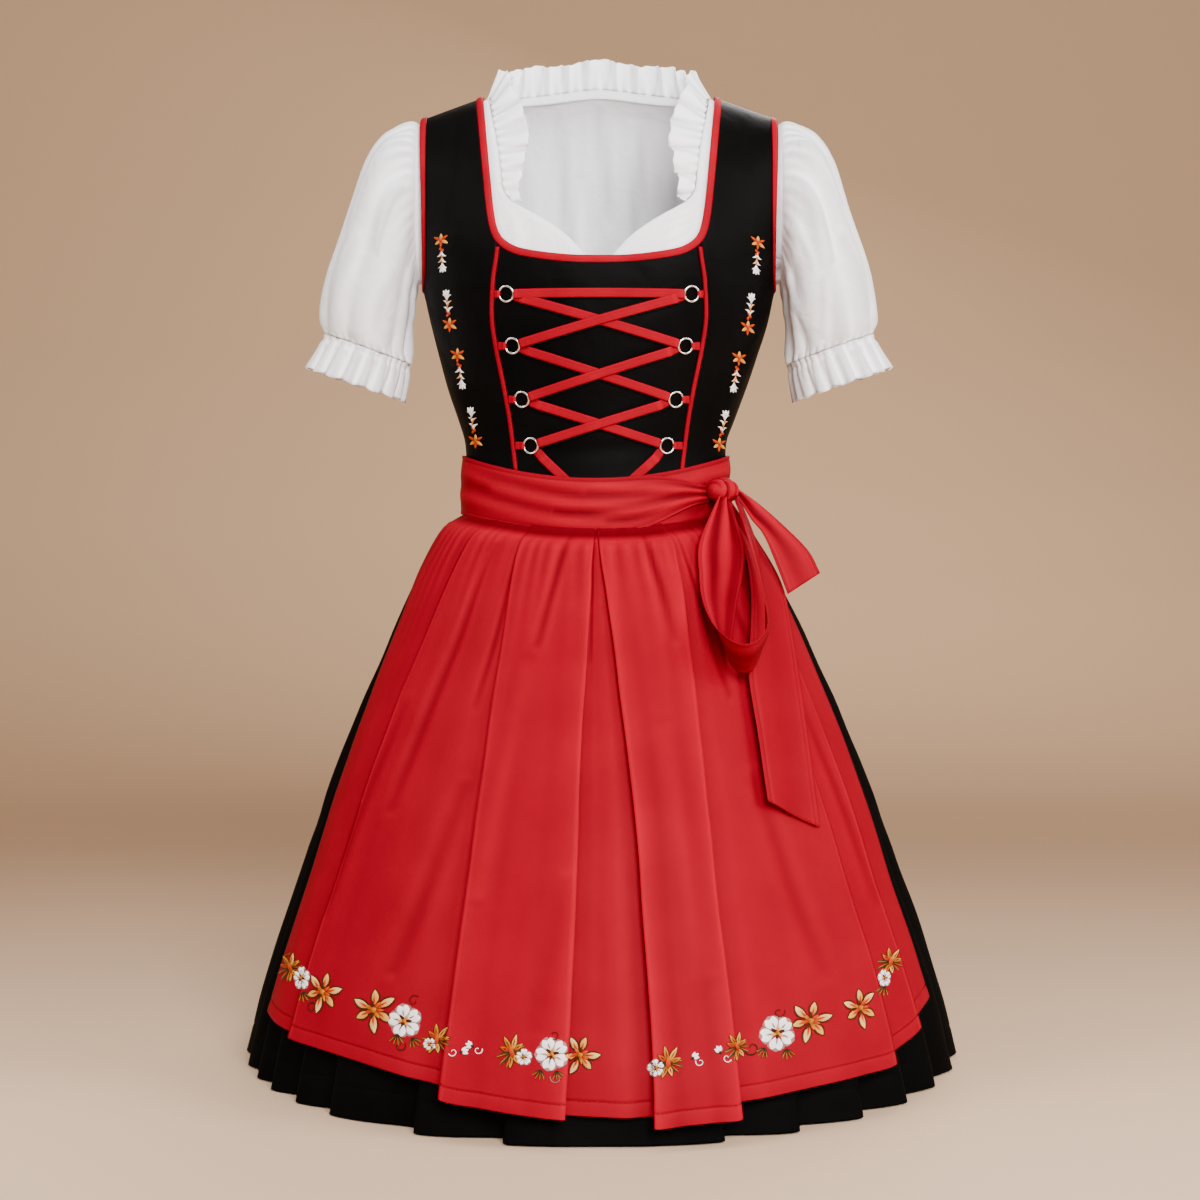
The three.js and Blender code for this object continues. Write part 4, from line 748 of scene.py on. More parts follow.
CORD_HALF, CORD_RISE = 2.1, 1.7
CORD_LEVELS = closer([557, 590, 640, 700, 757, 765.5], 4.0)
for hand, part in ((1, "right"), (-1, "left")):
    def cord_place(i, j):
        across = CORD_HALF * (i / 5 - 1)
        level = CORD_LEVELS[j]
        rise = 0.35 + CORD_RISE * math.sqrt(max(0.0, 1 - (across / CORD_HALF) ** 2))
        return off_body(-1, angle_of(-1, hand * read(PANEL_SEAM, level) + across, level), level, rise)[0]
    cord = cloth(f"panel_cord_{part}", 10, len(CORD_LEVELS) - 1, cord_place, 0.3, red_tape,
                 uneven=0.12)


# The lacing: steel rings held by short loops of red ribbon that are caught under the piping, and a flat
# ribbon that runs across at the top and then crosses from ring to ring down into the sash.
RINGS = [(723, 86), (675, 80.5), (625, 71.8), (581.5, 63.5)]
RING_RADIUS, WIRE_RADIUS, RING_OUT = 7.2, 1.0, 1.7
TAB_HALF = 3.7

polished_steel, tree, shader = new_look("polished_steel")
shader.inputs["Metallic"].default_value = 1.0
spot = node(tree, "TexCoord")
wear = node(tree, "TexNoise", {"Scale": 420.0, "Detail": 6.0})
wear_colour = ramp(tree, [(0.0, (0.52, 0.51, 0.50)), (1.0, (0.86, 0.85, 0.84))])
wear_gloss = node(tree, "MapRange", {"To Min": 0.14, "To Max": 0.34})
tree.links.new(spot.outputs["Object"], wear.inputs["Vector"])
tree.links.new(wear.outputs["Fac"], wear_colour.inputs["Fac"])
tree.links.new(wear.outputs["Fac"], wear_gloss.inputs["Value"])
tree.links.new(wear_colour.outputs["Color"], shader.inputs["Base Color"])
tree.links.new(wear_gloss.outputs[0], shader.inputs["Roughness"])

red_ribbon = woven("red_ribbon", (0.27, 0.0, 0.0095), 0.42, 0.42, relief=0.5, mottle=0.1, gloss=0.025,
                   creasing=0.12, crease_size=8.0)


def front_spot(x, level, out):
    return off_body(-1, angle_of(-1, x, level), level, out)[0]


def steel_ring(name, x, level):
    middle, outward = off_body(-1, angle_of(-1, x, level), level, RING_OUT)
    bm = bmesh.new()
    bmesh.ops.create_circle(bm, segments=12, radius=WIRE_RADIUS)
    bmesh.ops.rotate(bm, verts=bm.verts, cent=(0, 0, 0), matrix=Matrix.Rotation(math.pi / 2, 3, "X"))
    bmesh.ops.translate(bm, verts=bm.verts, vec=(RING_RADIUS, 0, 0))
    bmesh.ops.spin(bm, geom=bm.verts[:] + bm.edges[:], cent=(0, 0, 0), axis=(0, 0, 1), dvec=(0, 0, 0),
                   angle=2 * math.pi, steps=56, use_merge=True)
    bmesh.ops.remove_doubles(bm, verts=bm.verts, dist=1e-4)
    bmesh.ops.rotate(bm, verts=bm.verts, cent=(0, 0, 0), matrix=outward.to_track_quat("Z", "Y").to_matrix())
    bmesh.ops.translate(bm, verts=bm.verts, vec=middle - Vector((0, 0, HEM_BELOW_SHOULDERS)))
    bmesh.ops.scale(bm, verts=bm.verts, vec=(0.001, 0.001, 0.001))
    bmesh.ops.recalc_face_normals(bm, faces=bm.faces)
    for face in bm.faces:
        face.smooth = True
    ring = stood(name, bm, [polished_steel], "_wire")
    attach(ring, "root")
    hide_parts(name)


def ring_tab(name, hand, x, level):
    """A loop of ribbon from under the piping over the ring's wire and back beneath."""
    reach = read(PANEL_SEAM, level) - CORD_HALF - 0.4 - x
    near = reach - RING_RADIUS
    loop = [(0, 1.5), (0.35 * near, 1.8), (0.75 * near, 2.6), (near - 0.9, 3.35), (near + 0.3, 3.5),
            (near + 1.4, 2.8), (near + 1.75, 1.7), (near + 1.1, 0.75), (near - 0.8, 0.55), (0.4 * near, 0.5),
            (0.4, 0.5)]
    smooth_loop = [(k, *row) for k, row in enumerate(loop)]
    columns = 30

    def place(i, j):
        k = (i if hand < 0 else columns - i) / columns * (len(loop) - 1)
        along, out = read(smooth_loop, k, 1), read(smooth_loop, k, 2)
        up = (j / 3 - 1) * (TAB_HALF - 0.5 * math.exp(-((along - near) / 2.5) ** 2))
        return front_spot(hand * (x + reach - along), level + up, out)

    tab = cloth(name, columns, 6, place, 0.25, red_ribbon, uneven=0.1)


for k, (level, x) in enumerate(RINGS):
    for hand, part in ((1, "right"), (-1, "left")):
        steel_ring(f"ring_{part}_{k + 1}", hand * x, level)
        ring_tab(f"tab_{part}_{k + 1}", hand, x, level)

LACE_HALF, LACE_LOW, LACE_HIGH, LACE_WALL = 4.4, 4.0, 5.6, 0.45


def lace(name, start, end, over, start_out, end_out):
    """A flat ribbon between two places on the front. Each end either dives into a ring or under the sash."""
    if start[0] > end[0]:
        start, end, start_out, end_out = end, start, end_out, start_out
    run = Vector((end[0] - start[0], end[1] - start[1]))
    span, columns = run.length, max(12, round(run.length / 2.0))
    way = run.normalized()

    def place(i, j):
        along = span * i / columns
        out = over
        for distance, profile in ((along, start_out), (span - along, end_out)):
            if distance < profile[-1][0]:
                out = read(profile, distance)
        across = (j / 4 - 1) * LACE_HALF * (1 - 0.16 * math.exp(-(min(along, span - along) / 3.5) ** 2))
        out -= 0.35 * (abs(j / 4 - 1) > 0.95) + 0.12 * math.sin(along * 0.21 + start[1])
        return front_spot(start[0] + way.x * along - way.y * across,
                          start[1] + way.y * along + way.x * across, out)

    ribbon = cloth(name, columns, 8, place, LACE_WALL, red_ribbon, uneven=0.2)


def through_ring(over):
    return [(0, 0.9), (1.0, 1.9), (2.2, 3.4), (4.0, mixed(3.6, over, 0.6)), (9.0, over)]


def under_ribbon(over):
    return [(0, 0.8), (3.0, 1.3), (7.0, 2.4), (12.0, over)]


def under_sash(over):
    return [(0, 0.9), (6.0, 1.1), (14.0, 2.4), (26.0, over)]


IN_RING = 5.0                # a ribbon starts this far from the ring's middle, inside its inner rim
top_level, top_x = RINGS[0]
lace("lace_top", (IN_RING - top_x, top_level), (top_x - IN_RING, top_level), LACE_LOW, through_ring(LACE_LOW),
     through_ring(LACE_LOW))
for k, (level, x) in enumerate(RINGS):
    for hand, part, other in ((-1, "left", "right"), (1, "right", "left")):
        over = LACE_LOW if hand < 0 else LACE_HIGH
        last = k == len(RINGS) - 1
        to_level, to_x = (544.0, -26.0) if last else RINGS[k + 1]
        way = Vector((-hand * to_x - hand * x, to_level - level)).normalized()
        start = (hand * x + way.x * IN_RING, level + way.y * IN_RING)
        end = (-hand * to_x, to_level) if last else (-hand * to_x - way.x * IN_RING, to_level - way.y * IN_RING)
        lace(f"lace_{part}_{k + 1}", start, end, over, under_ribbon(over),
             under_sash(over) if last else through_ring(over))


# The embroidery on the side fronts: four small sprigs on each side of the lacing, worked in satin stitch in
# orange, gold and white thread. Each is a narrow chain of loops, a little raised from the cloth, that leans
# towards the waist.
def thread(name, stops, strand=0.42):
    """Satin stitch: strands along the petal, with a colour that changes from its root to its tip."""
    look, tree, shader = new_look(name)
    join = tree.links.new
    shader.inputs["Roughness"].default_value = 0.45
    shader.inputs["Specular IOR Level"].default_value = 0.08
    spot = node(tree, "TexCoord")
    along = node(tree, "Attribute")
    along.attribute_name = "along"
    speckle = node(tree, "TexNoise", {"Scale": 900.0, "Detail": 3.0})
    shifted, recentred = node(tree, "Math", {1: 0.35}), node(tree, "Math", {1: 0.17})
    shifted.operation, recentred.operation = "MULTIPLY_ADD", "SUBTRACT"
    tint = ramp(tree, stops)
    join(spot.outputs["Object"], speckle.inputs["Vector"])
    join(speckle.outputs["Fac"], shifted.inputs[0])
    join(along.outputs["Fac"], shifted.inputs[2])
    join(shifted.outputs[0], recentred.inputs[0])
    join(recentred.outputs[0], tint.inputs["Fac"])
    join(tint.outputs["Color"], shader.inputs["Base Color"])
    strands = node(tree, "TexWave", {"Scale": 314.0 / strand, "Distortion": 1.2})
    strands.bands_direction = "Y"
    raised = node(tree, "Bump", {"Strength": 0.6, "Distance": 0.00018})
    join(spot.outputs["UV"], strands.inputs["Vector"])
    join(strands.outputs["Fac"], raised.inputs["Height"])
    join(raised.outputs["Normal"], shader.inputs["Normal"])
    return look


GOLD, CREAM, ORANGE, WHITE, LEAF, BROWN, PINK, PALE_GOLD = range(8)
THREADS = [thread(f"{colour}_thread", stops) for colour, stops in (
    ("gold", [(0.0, (0.14, 0.028, 0.001)), (0.5, (0.36, 0.10, 0.003)), (1.0, (0.52, 0.20, 0.012))]),
    ("cream", [(0.0, (0.36, 0.055, 0.003)), (0.38, (0.58, 0.25, 0.06)), (1.0, (0.72, 0.47, 0.21))]),
    ("orange", [(0.0, (0.20, 0.008, 0.001)), (0.55, (0.38, 0.03, 0.001)), (1.0, (0.50, 0.08, 0.003))]),
    ("white", [(0.0, (0.46, 0.31, 0.28)), (0.3, (0.76, 0.71, 0.70)), (1.0, (0.88, 0.86, 0.87))]),
    ("leaf", [(0.0, (0.012, 0.006, 0.002)), (0.5, (0.028, 0.018, 0.006)), (1.0, (0.075, 0.045, 0.012))]),
    ("brown", [(0.0, (0.022, 0.003, 0.001)), (1.0, (0.065, 0.012, 0.002))]),
    ("pink", [(0.0, (0.13, 0.03, 0.028)), (1.0, (0.30, 0.13, 0.12))]),
    ("pale_gold", [(0.0, (0.40, 0.11, 0.006)), (1.0, (0.66, 0.33, 0.07))]),
)]


def new_stitching():
    bm = bmesh.new()
    bm.loops.layers.uv.new("UVMap")
    bm.verts.layers.float.new("along")
    return bm


def petal(bm, lay, root, tip, width, colour, rise=0.5, bend=0.0, fullness=0.8, base=0.35, columns=8):
    """One satin-stitched petal from its root to its tip, laid on the cloth and domed."""
    run = Vector((tip[0] - root[0], tip[1] - root[1]))
    aside = Vector((-run.y, run.x)).normalized()
    patch = bmesh.ops.create_grid(bm, x_segments=columns, y_segments=4, size=0.5)["verts"]
    flat, shade = bm.loops.layers.uv.active, bm.verts.layers.float["along"]
    spots = {}
    for vert in patch:
        t, s = vert.co.x + 0.5, vert.co.y * 2
        half = width / 2 * max(0.03, math.sin(math.pi * min(0.999, max(0.001, t ** fullness)))) ** 0.8
        spread = half * s + bend * run.length * 4 * t * (1 - t)
        a, b = root[0] + run.x * t + aside.x * spread, root[1] + run.y * t + aside.y * spread
        dome = (1 - s * s) * (1 - (2 * t - 1) ** 4)
        spots[vert] = (run.length * t / 1000, half * s / 1000)
        vert[shade] = t
        vert.co = in_frame(lay(a, b, base + rise * dome))
    for face in {face for vert in patch for face in vert.link_faces}:
        face.smooth = True
        face.material_index = colour
        for loop in face.loops:
            loop[flat].uv = spots[loop.vert]


def turn_of(centre, radius, degrees):
    turn = math.radians(degrees)
    return (centre[0] + radius * math.cos(turn), centre[1] + radius * math.sin(turn))


def stroke(bm, lay, centre, size, heading, start, end, width, colour, **form):
    """A petal that points away from a centre, its measures in shares of the whole flower's size."""
    root, tip = turn_of(centre, size * start, heading), turn_of(centre, size * end, heading)
    petal(bm, lay, root, tip, size * width, colour, **form)


def finish_stitching(bm, name, looks=THREADS):
    stitching = stood(name, bm, looks)
    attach(stitching, "root")


def sprig(bm, start, lean, orange_first):
    """A narrow chain of loops: an orange and gold star at one end, white links and a white cup at the other."""
    def at(along, aside=0.0):
        down = along if orange_first else LENGTH - along
        return (start[0] + lean * down / LENGTH + aside, start[1] - down)
    way = -90 if orange_first else 90
    star = (bm, front_spot, at(8.5), 1)
    for k, reach in enumerate((7.8, 6.4, 8.6, 6.8, 7.2, 8.2)):
        width, colour = ((2.6, ORANGE), (3.2, PALE_GOLD))[k % 2]
        stroke(*star, 60 * k + 28, 0.6, reach, width, colour, rise=0.6, base=0.3)
    stroke(*star, 20, -1.8, 1.8, 3.0, ORANGE, rise=0.8, base=0.7, columns=4)
    for along, aside in ((15.5, -1.6), (17.2, 1.5), (19.5, -1.2)):
        petal(bm, front_spot, at(along, aside), at(along + 3.4, aside * 0.4), 2.6, ORANGE, rise=0.6, columns=5)
    for along, tilt in ((19.0, -42), (19.6, 40), (24.5, -36), (25.2, 34), (30.4, -40), (31.0, 38)):
        stroke(bm, front_spot, at(along), 1, way + tilt, 0, 7.4, 2.3, CREAM if tilt == -36 else WHITE,
               rise=0.6, bend=math.copysign(0.26, -tilt))
    for along in (22.8, 28.6):
        petal(bm, front_spot, at(along), at(along + 3.2), 2.0, GOLD, rise=0.5, base=0.6, columns=4)
    for tilt in (-26, 0, 26):
        stroke(bm, front_spot, at(34.6), 1, way + tilt, 0, 6.8, 2.8, WHITE, rise=0.7)


LENGTH = 41.0
# sideways place and level of the upper end, how far it leans towards the lacing, and which end comes first
SPRIGS_LEFT = [(-150.5, 786, 2.5, True), (-146, 730, 4.5, False), (-136.5, 677, 7, True), (-124, 619, 7, False)]
SPRIGS_RIGHT = [(151.5, 784, -2.5, True), (146, 727, -5, False), (135.5, 674, -8, True), (123, 616, -9, False)]
for part, sprigs in (("left", SPRIGS_LEFT), ("right", SPRIGS_RIGHT)):
    stitching = new_stitching()
    for x, height, lean, orange_first in sprigs:
        level = height if height < UNDERARM else UNDERARM + (height - UNDERARM) * 1.05
        sprig(stitching, (x, level), lean, orange_first)
    finish_stitching(stitching, f"bodice_embroidery_{part}")


# The skirt: four lengths of the black cotton, laid in knife pleats that open from the waist to the hem and
# turn away from the front on both sides. Each pleat has a rounded edge that overlaps the next one, and
# the hem is turned up and stitched.
# height, half width, depth of the front, depth of the back, lean to one side
SKIRT = [
    (0, 344.6, 356, 350, 2), (55, 331, 342, 336, 2), (120, 311, 318, 314, 2), (184, 288, 291, 290, 1.5),
    (249, 266, 264, 266, 1), (314, 240, 234, 238, 0.5), (357, 221.6, 213, 218, 0), (400, 202, 190, 197, -0.5),
    (443, 182, 166, 175, -1.5), (465, 171.5, 152, 163, -2), (486, 159, 137, 149, -3),
    (500, 150, 125, 137, -3), (508, 143, 116, 128, -3), (512, 137, 108, 118, -3), (516, 128.6, 99, 96, -3),
    (528, 127.2, 98, 95, -3),
]
FOLDS_RIGHT = [17, 29, 41, 52, 62, 72.5, 82.5, 93, 104, 115, 127, 138, 149, 160, 171]
FOLDS_LEFT = [13, 27, 43, 52, 60, 67, 75, 85, 96, 107, 118, 129, 141, 152, 163, 173]
FOLD_HEM, FOLD_WAIST, FOLD_STEP, SASH_LEVEL = 18.0, 3.0, 0.8, 516.0
SASH_LOW, SASH_DIP = 516.0, 16.0
# share of the way from the bottom of one step to the next fold's edge, and how far in
RISE = [(0.0, 1.0), (0.07, 1.0), (0.16, 0.93), (0.28, 0.79), (0.42, 0.59), (0.56, 0.4), (0.7, 0.23),
        (0.82, 0.1), (0.91, 0.03), (0.97, 0.0)]
# degrees past the fold's edge, and how far in
STEP = [(0.0, 0.015), (0.4, 0.07), (0.66, 0.2), (0.72, 0.4), (0.62, 0.62), (0.55, 0.84), (0.64, 0.96)]


def sash_low_edge(angle):
    return SASH_LOW - SASH_DIP * max(0.0, math.cos(angle)) ** 2


def skirt_form(angle, level, out):
    edge = sash_low_edge(angle)
    if level <= SASH_LEVEL:
        height = level - (SASH_LEVEL - edge) * (level / SASH_LEVEL) ** 2
    else:
        height = mixed(edge, WAIST, (level - SASH_LEVEL) / (WAIST - SASH_LEVEL))
    depth = read(SKIRT, level, FRONT if math.cos(angle) > 0 else BACK)
    return Vector((read(SKIRT, level, LEAN) + (read(SKIRT, level, HALF) + out) * math.sin(angle),
                   -(depth + out) * math.cos(angle), height))


def pleat_stations(folds, first, end):
    """One side's pleats from the middle of the front: angle, how far in, and a number for the fold."""
    stations, bottom, deep = [], first, 0.12
    for number, fold in enumerate(folds):
        stations += [(mixed(bottom, fold, share), inset * deep, fold) for share, inset in RISE]
        stations += [(fold + past, inset, fold) for past, inset in STEP]
        bottom, deep = fold + FOLD_STEP, 1.0
    stations += [(mixed(bottom, end, k / 5), mixed(1.0, 0.9, k / 5), end) for k in range(6)]
    return stations


right_side = pleat_stations(FOLDS_RIGHT, FOLDS_RIGHT[0] * 0.35, 180)
left_side = [(-angle, inset, -fold)
             for angle, inset, fold in pleat_stations(FOLDS_LEFT, FOLDS_LEFT[0] * 0.4, 180)]
ROUND = left_side[:0:-1] + right_side
SKIRT_LEVELS = closer([0, 1.5, 4, 22, 24, 25.5, 27, 29, 34, 60, 443, 486, 500, 509, 513, 516, 520, 527.7], 10.5)


def skirt_place(stations, j):
    level = SKIRT_LEVELS[j]
    down = 1 - min(1.0, level / SASH_LEVEL)

    def place(i):
        angle, inset, fold = stations[i]
        wobble = noise.noise(Vector((fold * 0.37, level * 0.0045, 3.1)))
        sway = noise.noise(Vector((fold * 0.61, level * 0.007, 9.7)))
        depth = mixed(FOLD_WAIST, FOLD_HEM, down ** 0.8) * (1 + 0.3 * sway)
        side_step = 1.1 * wobble * down ** 0.7 * (1 - 0.6 * inset)
        out = -depth * inset - 0.5 * math.exp(-((level - 25.5) / 1.3) ** 2) + 1.5 * sway * down - 1.0 * down
        return skirt_form(math.radians(angle + side_step), level, out)

    return place


skirt_cloth = woven("skirt_cotton", (0.0011, 0.0010, 0.0010), 0.6, 0.55, relief=0.35, mottle=0.3, gloss=0.02,
                    creasing=0.3, crease_size=40.0)
SKIRT_CREASES = [
    (0.12, 0.62, 0.20, 0.50, 7, 1.6), (0.34, 0.46, 0.40, 0.36, 8, 1.4), (0.55, 0.70, 0.60, 0.55, 8, 1.5),
    (0.78, 0.40, 0.70, 0.28, 8, 1.6), (0.88, 0.72, 0.83, 0.58, 7, 1.4), (0.25, 0.26, 0.31, 0.16, 9, 1.5),
    (0.64, 0.22, 0.58, 0.12, 9, 1.4), (0.06, 0.30, 0.10, 0.18, 8, -1.5), (0.46, 0.84, 0.50, 0.74, 6, 1.2),
]
PANELS = [
    ("skirt_front", -43.8, 52.8, 0.62, 0.275), ("skirt_right", 52.8, 127.8, 0.55, 0.22),
    ("skirt_back", 127.8, 252.2, 0.85, 0.36), ("skirt_left", -107.8, -43.8, 0.50, 0.20),
]
AROUND = ROUND + [(angle + 360, inset, fold) for angle, inset, fold in ROUND[1:] if angle < -90]
for name, first, last, width, area in PANELS:
    stations = [station for station in AROUND if first - 0.01 <= station[0] <= last + 0.01]
    spots = [skirt_place(stations, j) for j in range(len(SKIRT_LEVELS))]
    panel = cloth(name, len(stations) - 1, len(SKIRT_LEVELS) - 1, lambda i, j: spots[j](i), 0.8, skirt_cloth,
                  SKIRT_CREASES, uneven=1.0)


# The apron: red cotton satin, gathered into the sash and pressed into two flat panels on either side of a
# deep pleat in the middle, with softer folds towards the sides. The folds' edges turn back under
# themselves, and the hem is turned up with a stitched line.

# degrees from the middle at the sash and at the hem, how far out the cloth stands there, the hem's height
APRON = [
    (-76, -67, 0, 60), (-62, -61.5, 2, 57), (-49, -53.8, 0.5, 55), (-47.5, -54.6, 6, 53), (-42, -47, 2, 52),
    (-36, -38, 0.5, 50), (-31, -30, 1.5, 46), (-27.4, -21.8, 0, 40), (-26.6, -22.7, 11, 34),
    (-18, -16.5, 10.5, 30), (-9, -10.5, 10.5, 27), (-0.9, -4.5, 11, 25), (-0.5, -5.8, 0.5, 26),
    (0, -1.1, -0.3, 25), (0.5, 3, 1, 24), (0.9, 8.2, 0.3, 24), (1.3, 6.9, 12.5, 18), (10, 11, 11, 19),
    (19, 15.2, 11, 20), (27.6, 19.3, 11.5, 21), (28.4, 18.0, 0.5, 29), (31, 24, 2, 33), (36, 32, 0.5, 35),
    (42, 41, 1.5, 36), (47, 48.6, 6, 38), (48, 47.6, 1, 44), (57, 58, 5, 58), (58.2, 57.2, 0.5, 63),
    (74, 66, 0, 74),
]
APRON_OUT = [(0, 4.2), (400, 4.6), (500, 5.8), (508, 5.2), (516, 3.0), (524, 1.4)]
APRON_TOP, MEAN_RADIUS, STITCH_LINE = 523.0, 350.0, 12.0
# how far above the hem each row starts, close together at the turned edge and at the stitched line
APRON_STEPS = closer([0, 0.7, 2, 5, 9, 10.6, 11.3, 12, 12.7, 13.4, 15, 19, 26, 36, 380, 450, 478, 498], 6.5)
crease_runs = [0.0]
for (_, hem_a, out_a, _), (_, hem_b, out_b, _) in zip(APRON, APRON[1:]):
    crease_runs.append(crease_runs[-1] + math.hypot(math.radians(hem_b - hem_a) * MEAN_RADIUS, out_b - out_a))
apron_runs = closer(crease_runs, 3.8)


def apron_row(step):
    """The creases as they lie at one height: the run along the hem, angle, stand and height of each."""
    row = []
    for run, (at_sash, at_hem, stand, hem) in zip(crease_runs, APRON):
        level = hem + step * (APRON_TOP - hem) / APRON_STEPS[-1]
        down = 1 - min(1.0, level / SASH_LEVEL)
        angle = mixed(at_sash, at_hem, 1 - (1 - down) ** 3)
        angle += 0.7 * noise.noise(Vector((run * 0.013, level * 0.006, 5.0))) * down ** 0.6
        lift = stand * mixed(0.33, 1, down ** 0.8) * eased((525 - level) / 20)
        lift *= 1 + 0.12 * noise.noise(Vector((run * 0.02, level * 0.01, 1)))
        row.append((run, angle, lift, level))
    return row


apron_rows = [apron_row(step) for step in APRON_STEPS]


def apron_place(i, j):
    run, step = apron_runs[i], APRON_STEPS[j]
    angle, lift, level = (read(apron_rows[j], run, column) for column in (1, 2, 3))
    out = read(APRON_OUT, level) + max(-0.4, lift)
    near_sash = math.exp(-max(0.0, 516 - level) / 46)
    out += 0.5 * near_sash * math.sin(angle * 1.35 + 1.3 * math.sin(angle * 0.31)) * (level < 518)
    out += 1.1 * noise.noise(Vector((angle * 0.05, level * 0.009, 2.0))) * min(1.0, (524 - level) / 120)
    out -= 0.7 * math.exp(-((step - STITCH_LINE) / 0.8) ** 2) - 0.35 * math.exp(-((step - 5) / 5.0) ** 4)
    return skirt_form(math.radians(angle), level, out)


APRON_CREASES = [
    (0.46, 0.97, 0.47, 0.70, 4, 1.0), (0.54, 0.97, 0.55, 0.66, 4, 1.0), (0.40, 0.96, 0.37, 0.72, 5, 1.2),
    (0.61, 0.97, 0.63, 0.74, 5, 1.1), (0.30, 0.96, 0.26, 0.60, 6, 1.3), (0.70, 0.96, 0.74, 0.62, 6, 1.2),
    (0.20, 0.92, 0.16, 0.40, 9, 1.8), (0.80, 0.94, 0.84, 0.45, 9, 1.7), (0.36, 0.70, 0.33, 0.30, 12, -1.2),
    (0.60, 0.60, 0.62, 0.20, 12, -1.2), (0.27, 0.48, 0.22, 0.14, 10, 1.6), (0.75, 0.50, 0.79, 0.16, 10, 1.5),
    (0.12, 0.60, 0.10, 0.20, 9, 1.4), (0.90, 0.60, 0.92, 0.22, 9, 1.4), (0.43, 0.36, 0.41, 0.12, 12, 0.8),
]
# the satin gets the deepest painted shade in its hollows
red_satin = woven("red_satin", (0.262, 0.0, 0.0098), 0.46, 0.34, relief=0.22, mottle=0.06, gloss=0.022,
                  creasing=0.26, crease_size=36.0, shade=0.62)
apron = cloth("apron_panel", len(apron_runs) - 1, len(APRON_STEPS) - 1, apron_place, 0.7, red_satin,
              APRON_CREASES, uneven=0.6)

apron_form = BVHTree.FromPolygons([vert.co for vert in apron.data.vertices],
                                  [tuple(face.vertices) for face in apron.data.polygons])


def on_apron(x, height, out):
    """The apron's cloth where a line of sight through x and height meets it, in millimetres, moved out."""
    aim = in_frame((x, 0, height)) - camera.location
    hit, outward, _, _ = apron_form.ray_cast(camera.location, aim.normalized())
    if hit is None:
        return on_apron(x * 0.97, height + 4, out)
    if outward.dot(aim) > 0:
        outward = -outward
    return hit * 1000 + Vector((0, 0, HEM_BELOW_SHOULDERS)) + outward * out


# The embroidery along the apron's hem: cream lilies with orange hearts, white flowers and cups, gold buds,
# dark olive leaves and white and brown tendrils, one group after the other from side to side. All of it is
# satin stitch, a little raised, and the hem below it is held by a row of short red stitches.
def spot_in_photo(px, py):
    """Where a place in the 1200 pixel frame lies across and up, at the depth of the shoulders."""
    return (px - 599) / 1.02, 549 + (480 - py) / 1.02


def squeezed(centre, squeeze):
    """The apron's cloth, for a flower that is narrower from side to side by that share."""
    return lambda a, b, out: on_apron(centre[0] + (a - centre[0]) * squeeze, b, out)


def lily(bm, centre, size, turn, squeeze):
    """Six pointed petals, each outlined, with a ring of orange and red-brown stitches at the heart."""
    flower = (bm, squeezed(centre, squeeze), centre, size)
    for k, reach in enumerate((1.08, 0.92, 1.0, 0.86, 1.06, 0.9)):
        heading, bend = 60 * k + turn + 5 * math.sin(3 * k + turn), 0.05 * math.sin(2.2 * k + turn)
        stroke(*flower, heading, 0.16, reach, 0.46, BROWN, rise=0.25, base=0.25, fullness=1.05, bend=bend)
        stroke(*flower, heading, 0.20, reach * 0.93, 0.29, (CREAM, PALE_GOLD)[k % 2], rise=0.8, base=0.45,
               fullness=1.05, bend=bend)
        stroke(*flower, heading, 0.24, reach * 0.68, 0.09, ORANGE, rise=0.4, base=1.15, bend=bend, columns=5)
    for k in range(7):
        stroke(*flower, 360 / 7 * k + turn + 20, 0.05, 0.44, 0.16, (ORANGE, BROWN, GOLD)[k % 3], rise=0.6,
               base=0.9, columns=5)
    stroke(*flower, 20, -0.15, 0.15, 0.26, GOLD, rise=0.9, base=1.1, columns=5)


def white_flower(bm, centre, size, turn, squeeze):
    """Five broad notched petals edged in pink, with grey-pink strokes and a brown and gold heart."""
    flower = (bm, squeezed(centre, squeeze), centre, size)
    for k in range(5):
        heading = 72 * k + 18 + turn
        stroke(*flower, heading, 0.08, 1.02, 1.0, PINK, rise=0.25, base=0.25, fullness=1.6)
        for aside in (-14, 14):
            petal(*flower[:2], turn_of(centre, size * 0.14, heading),
                  turn_of(centre, size * 0.94, heading + aside), size * 0.46, WHITE, rise=0.8, base=0.45,
                  fullness=1.5)
        stroke(*flower, heading, 0.3, 0.66, 0.09, PINK, rise=0.3, base=1.2, columns=4)
    for k in range(6):
        stroke(*flower, 60 * k + 54 + turn, 0.05, 0.44, 0.17, (PALE_GOLD, BROWN)[k % 2], rise=0.6, base=1.0,
               columns=5)
    stroke(*flower, -20, -0.14, 0.14, 0.24, GOLD, rise=0.8, base=1.1, columns=5)


def leaf_fan(bm, root, size, heading, count=4):
    """Dark strokes that spread from one point, as the leaves under a flower."""
    fan = (bm, on_apron, root, size)
    for k in range(count):
        aside = (k - (count - 1) / 2) * 26
        stroke(*fan, heading + aside, 0, 1 - 0.004 * abs(aside), 0.2, LEAF, rise=0.5,
               bend=0.05 * math.copysign(1, aside or 1))
        stroke(*fan, heading + aside, 0.2, 0.85, 0.05, GOLD, rise=0.3, base=0.9, columns=5)


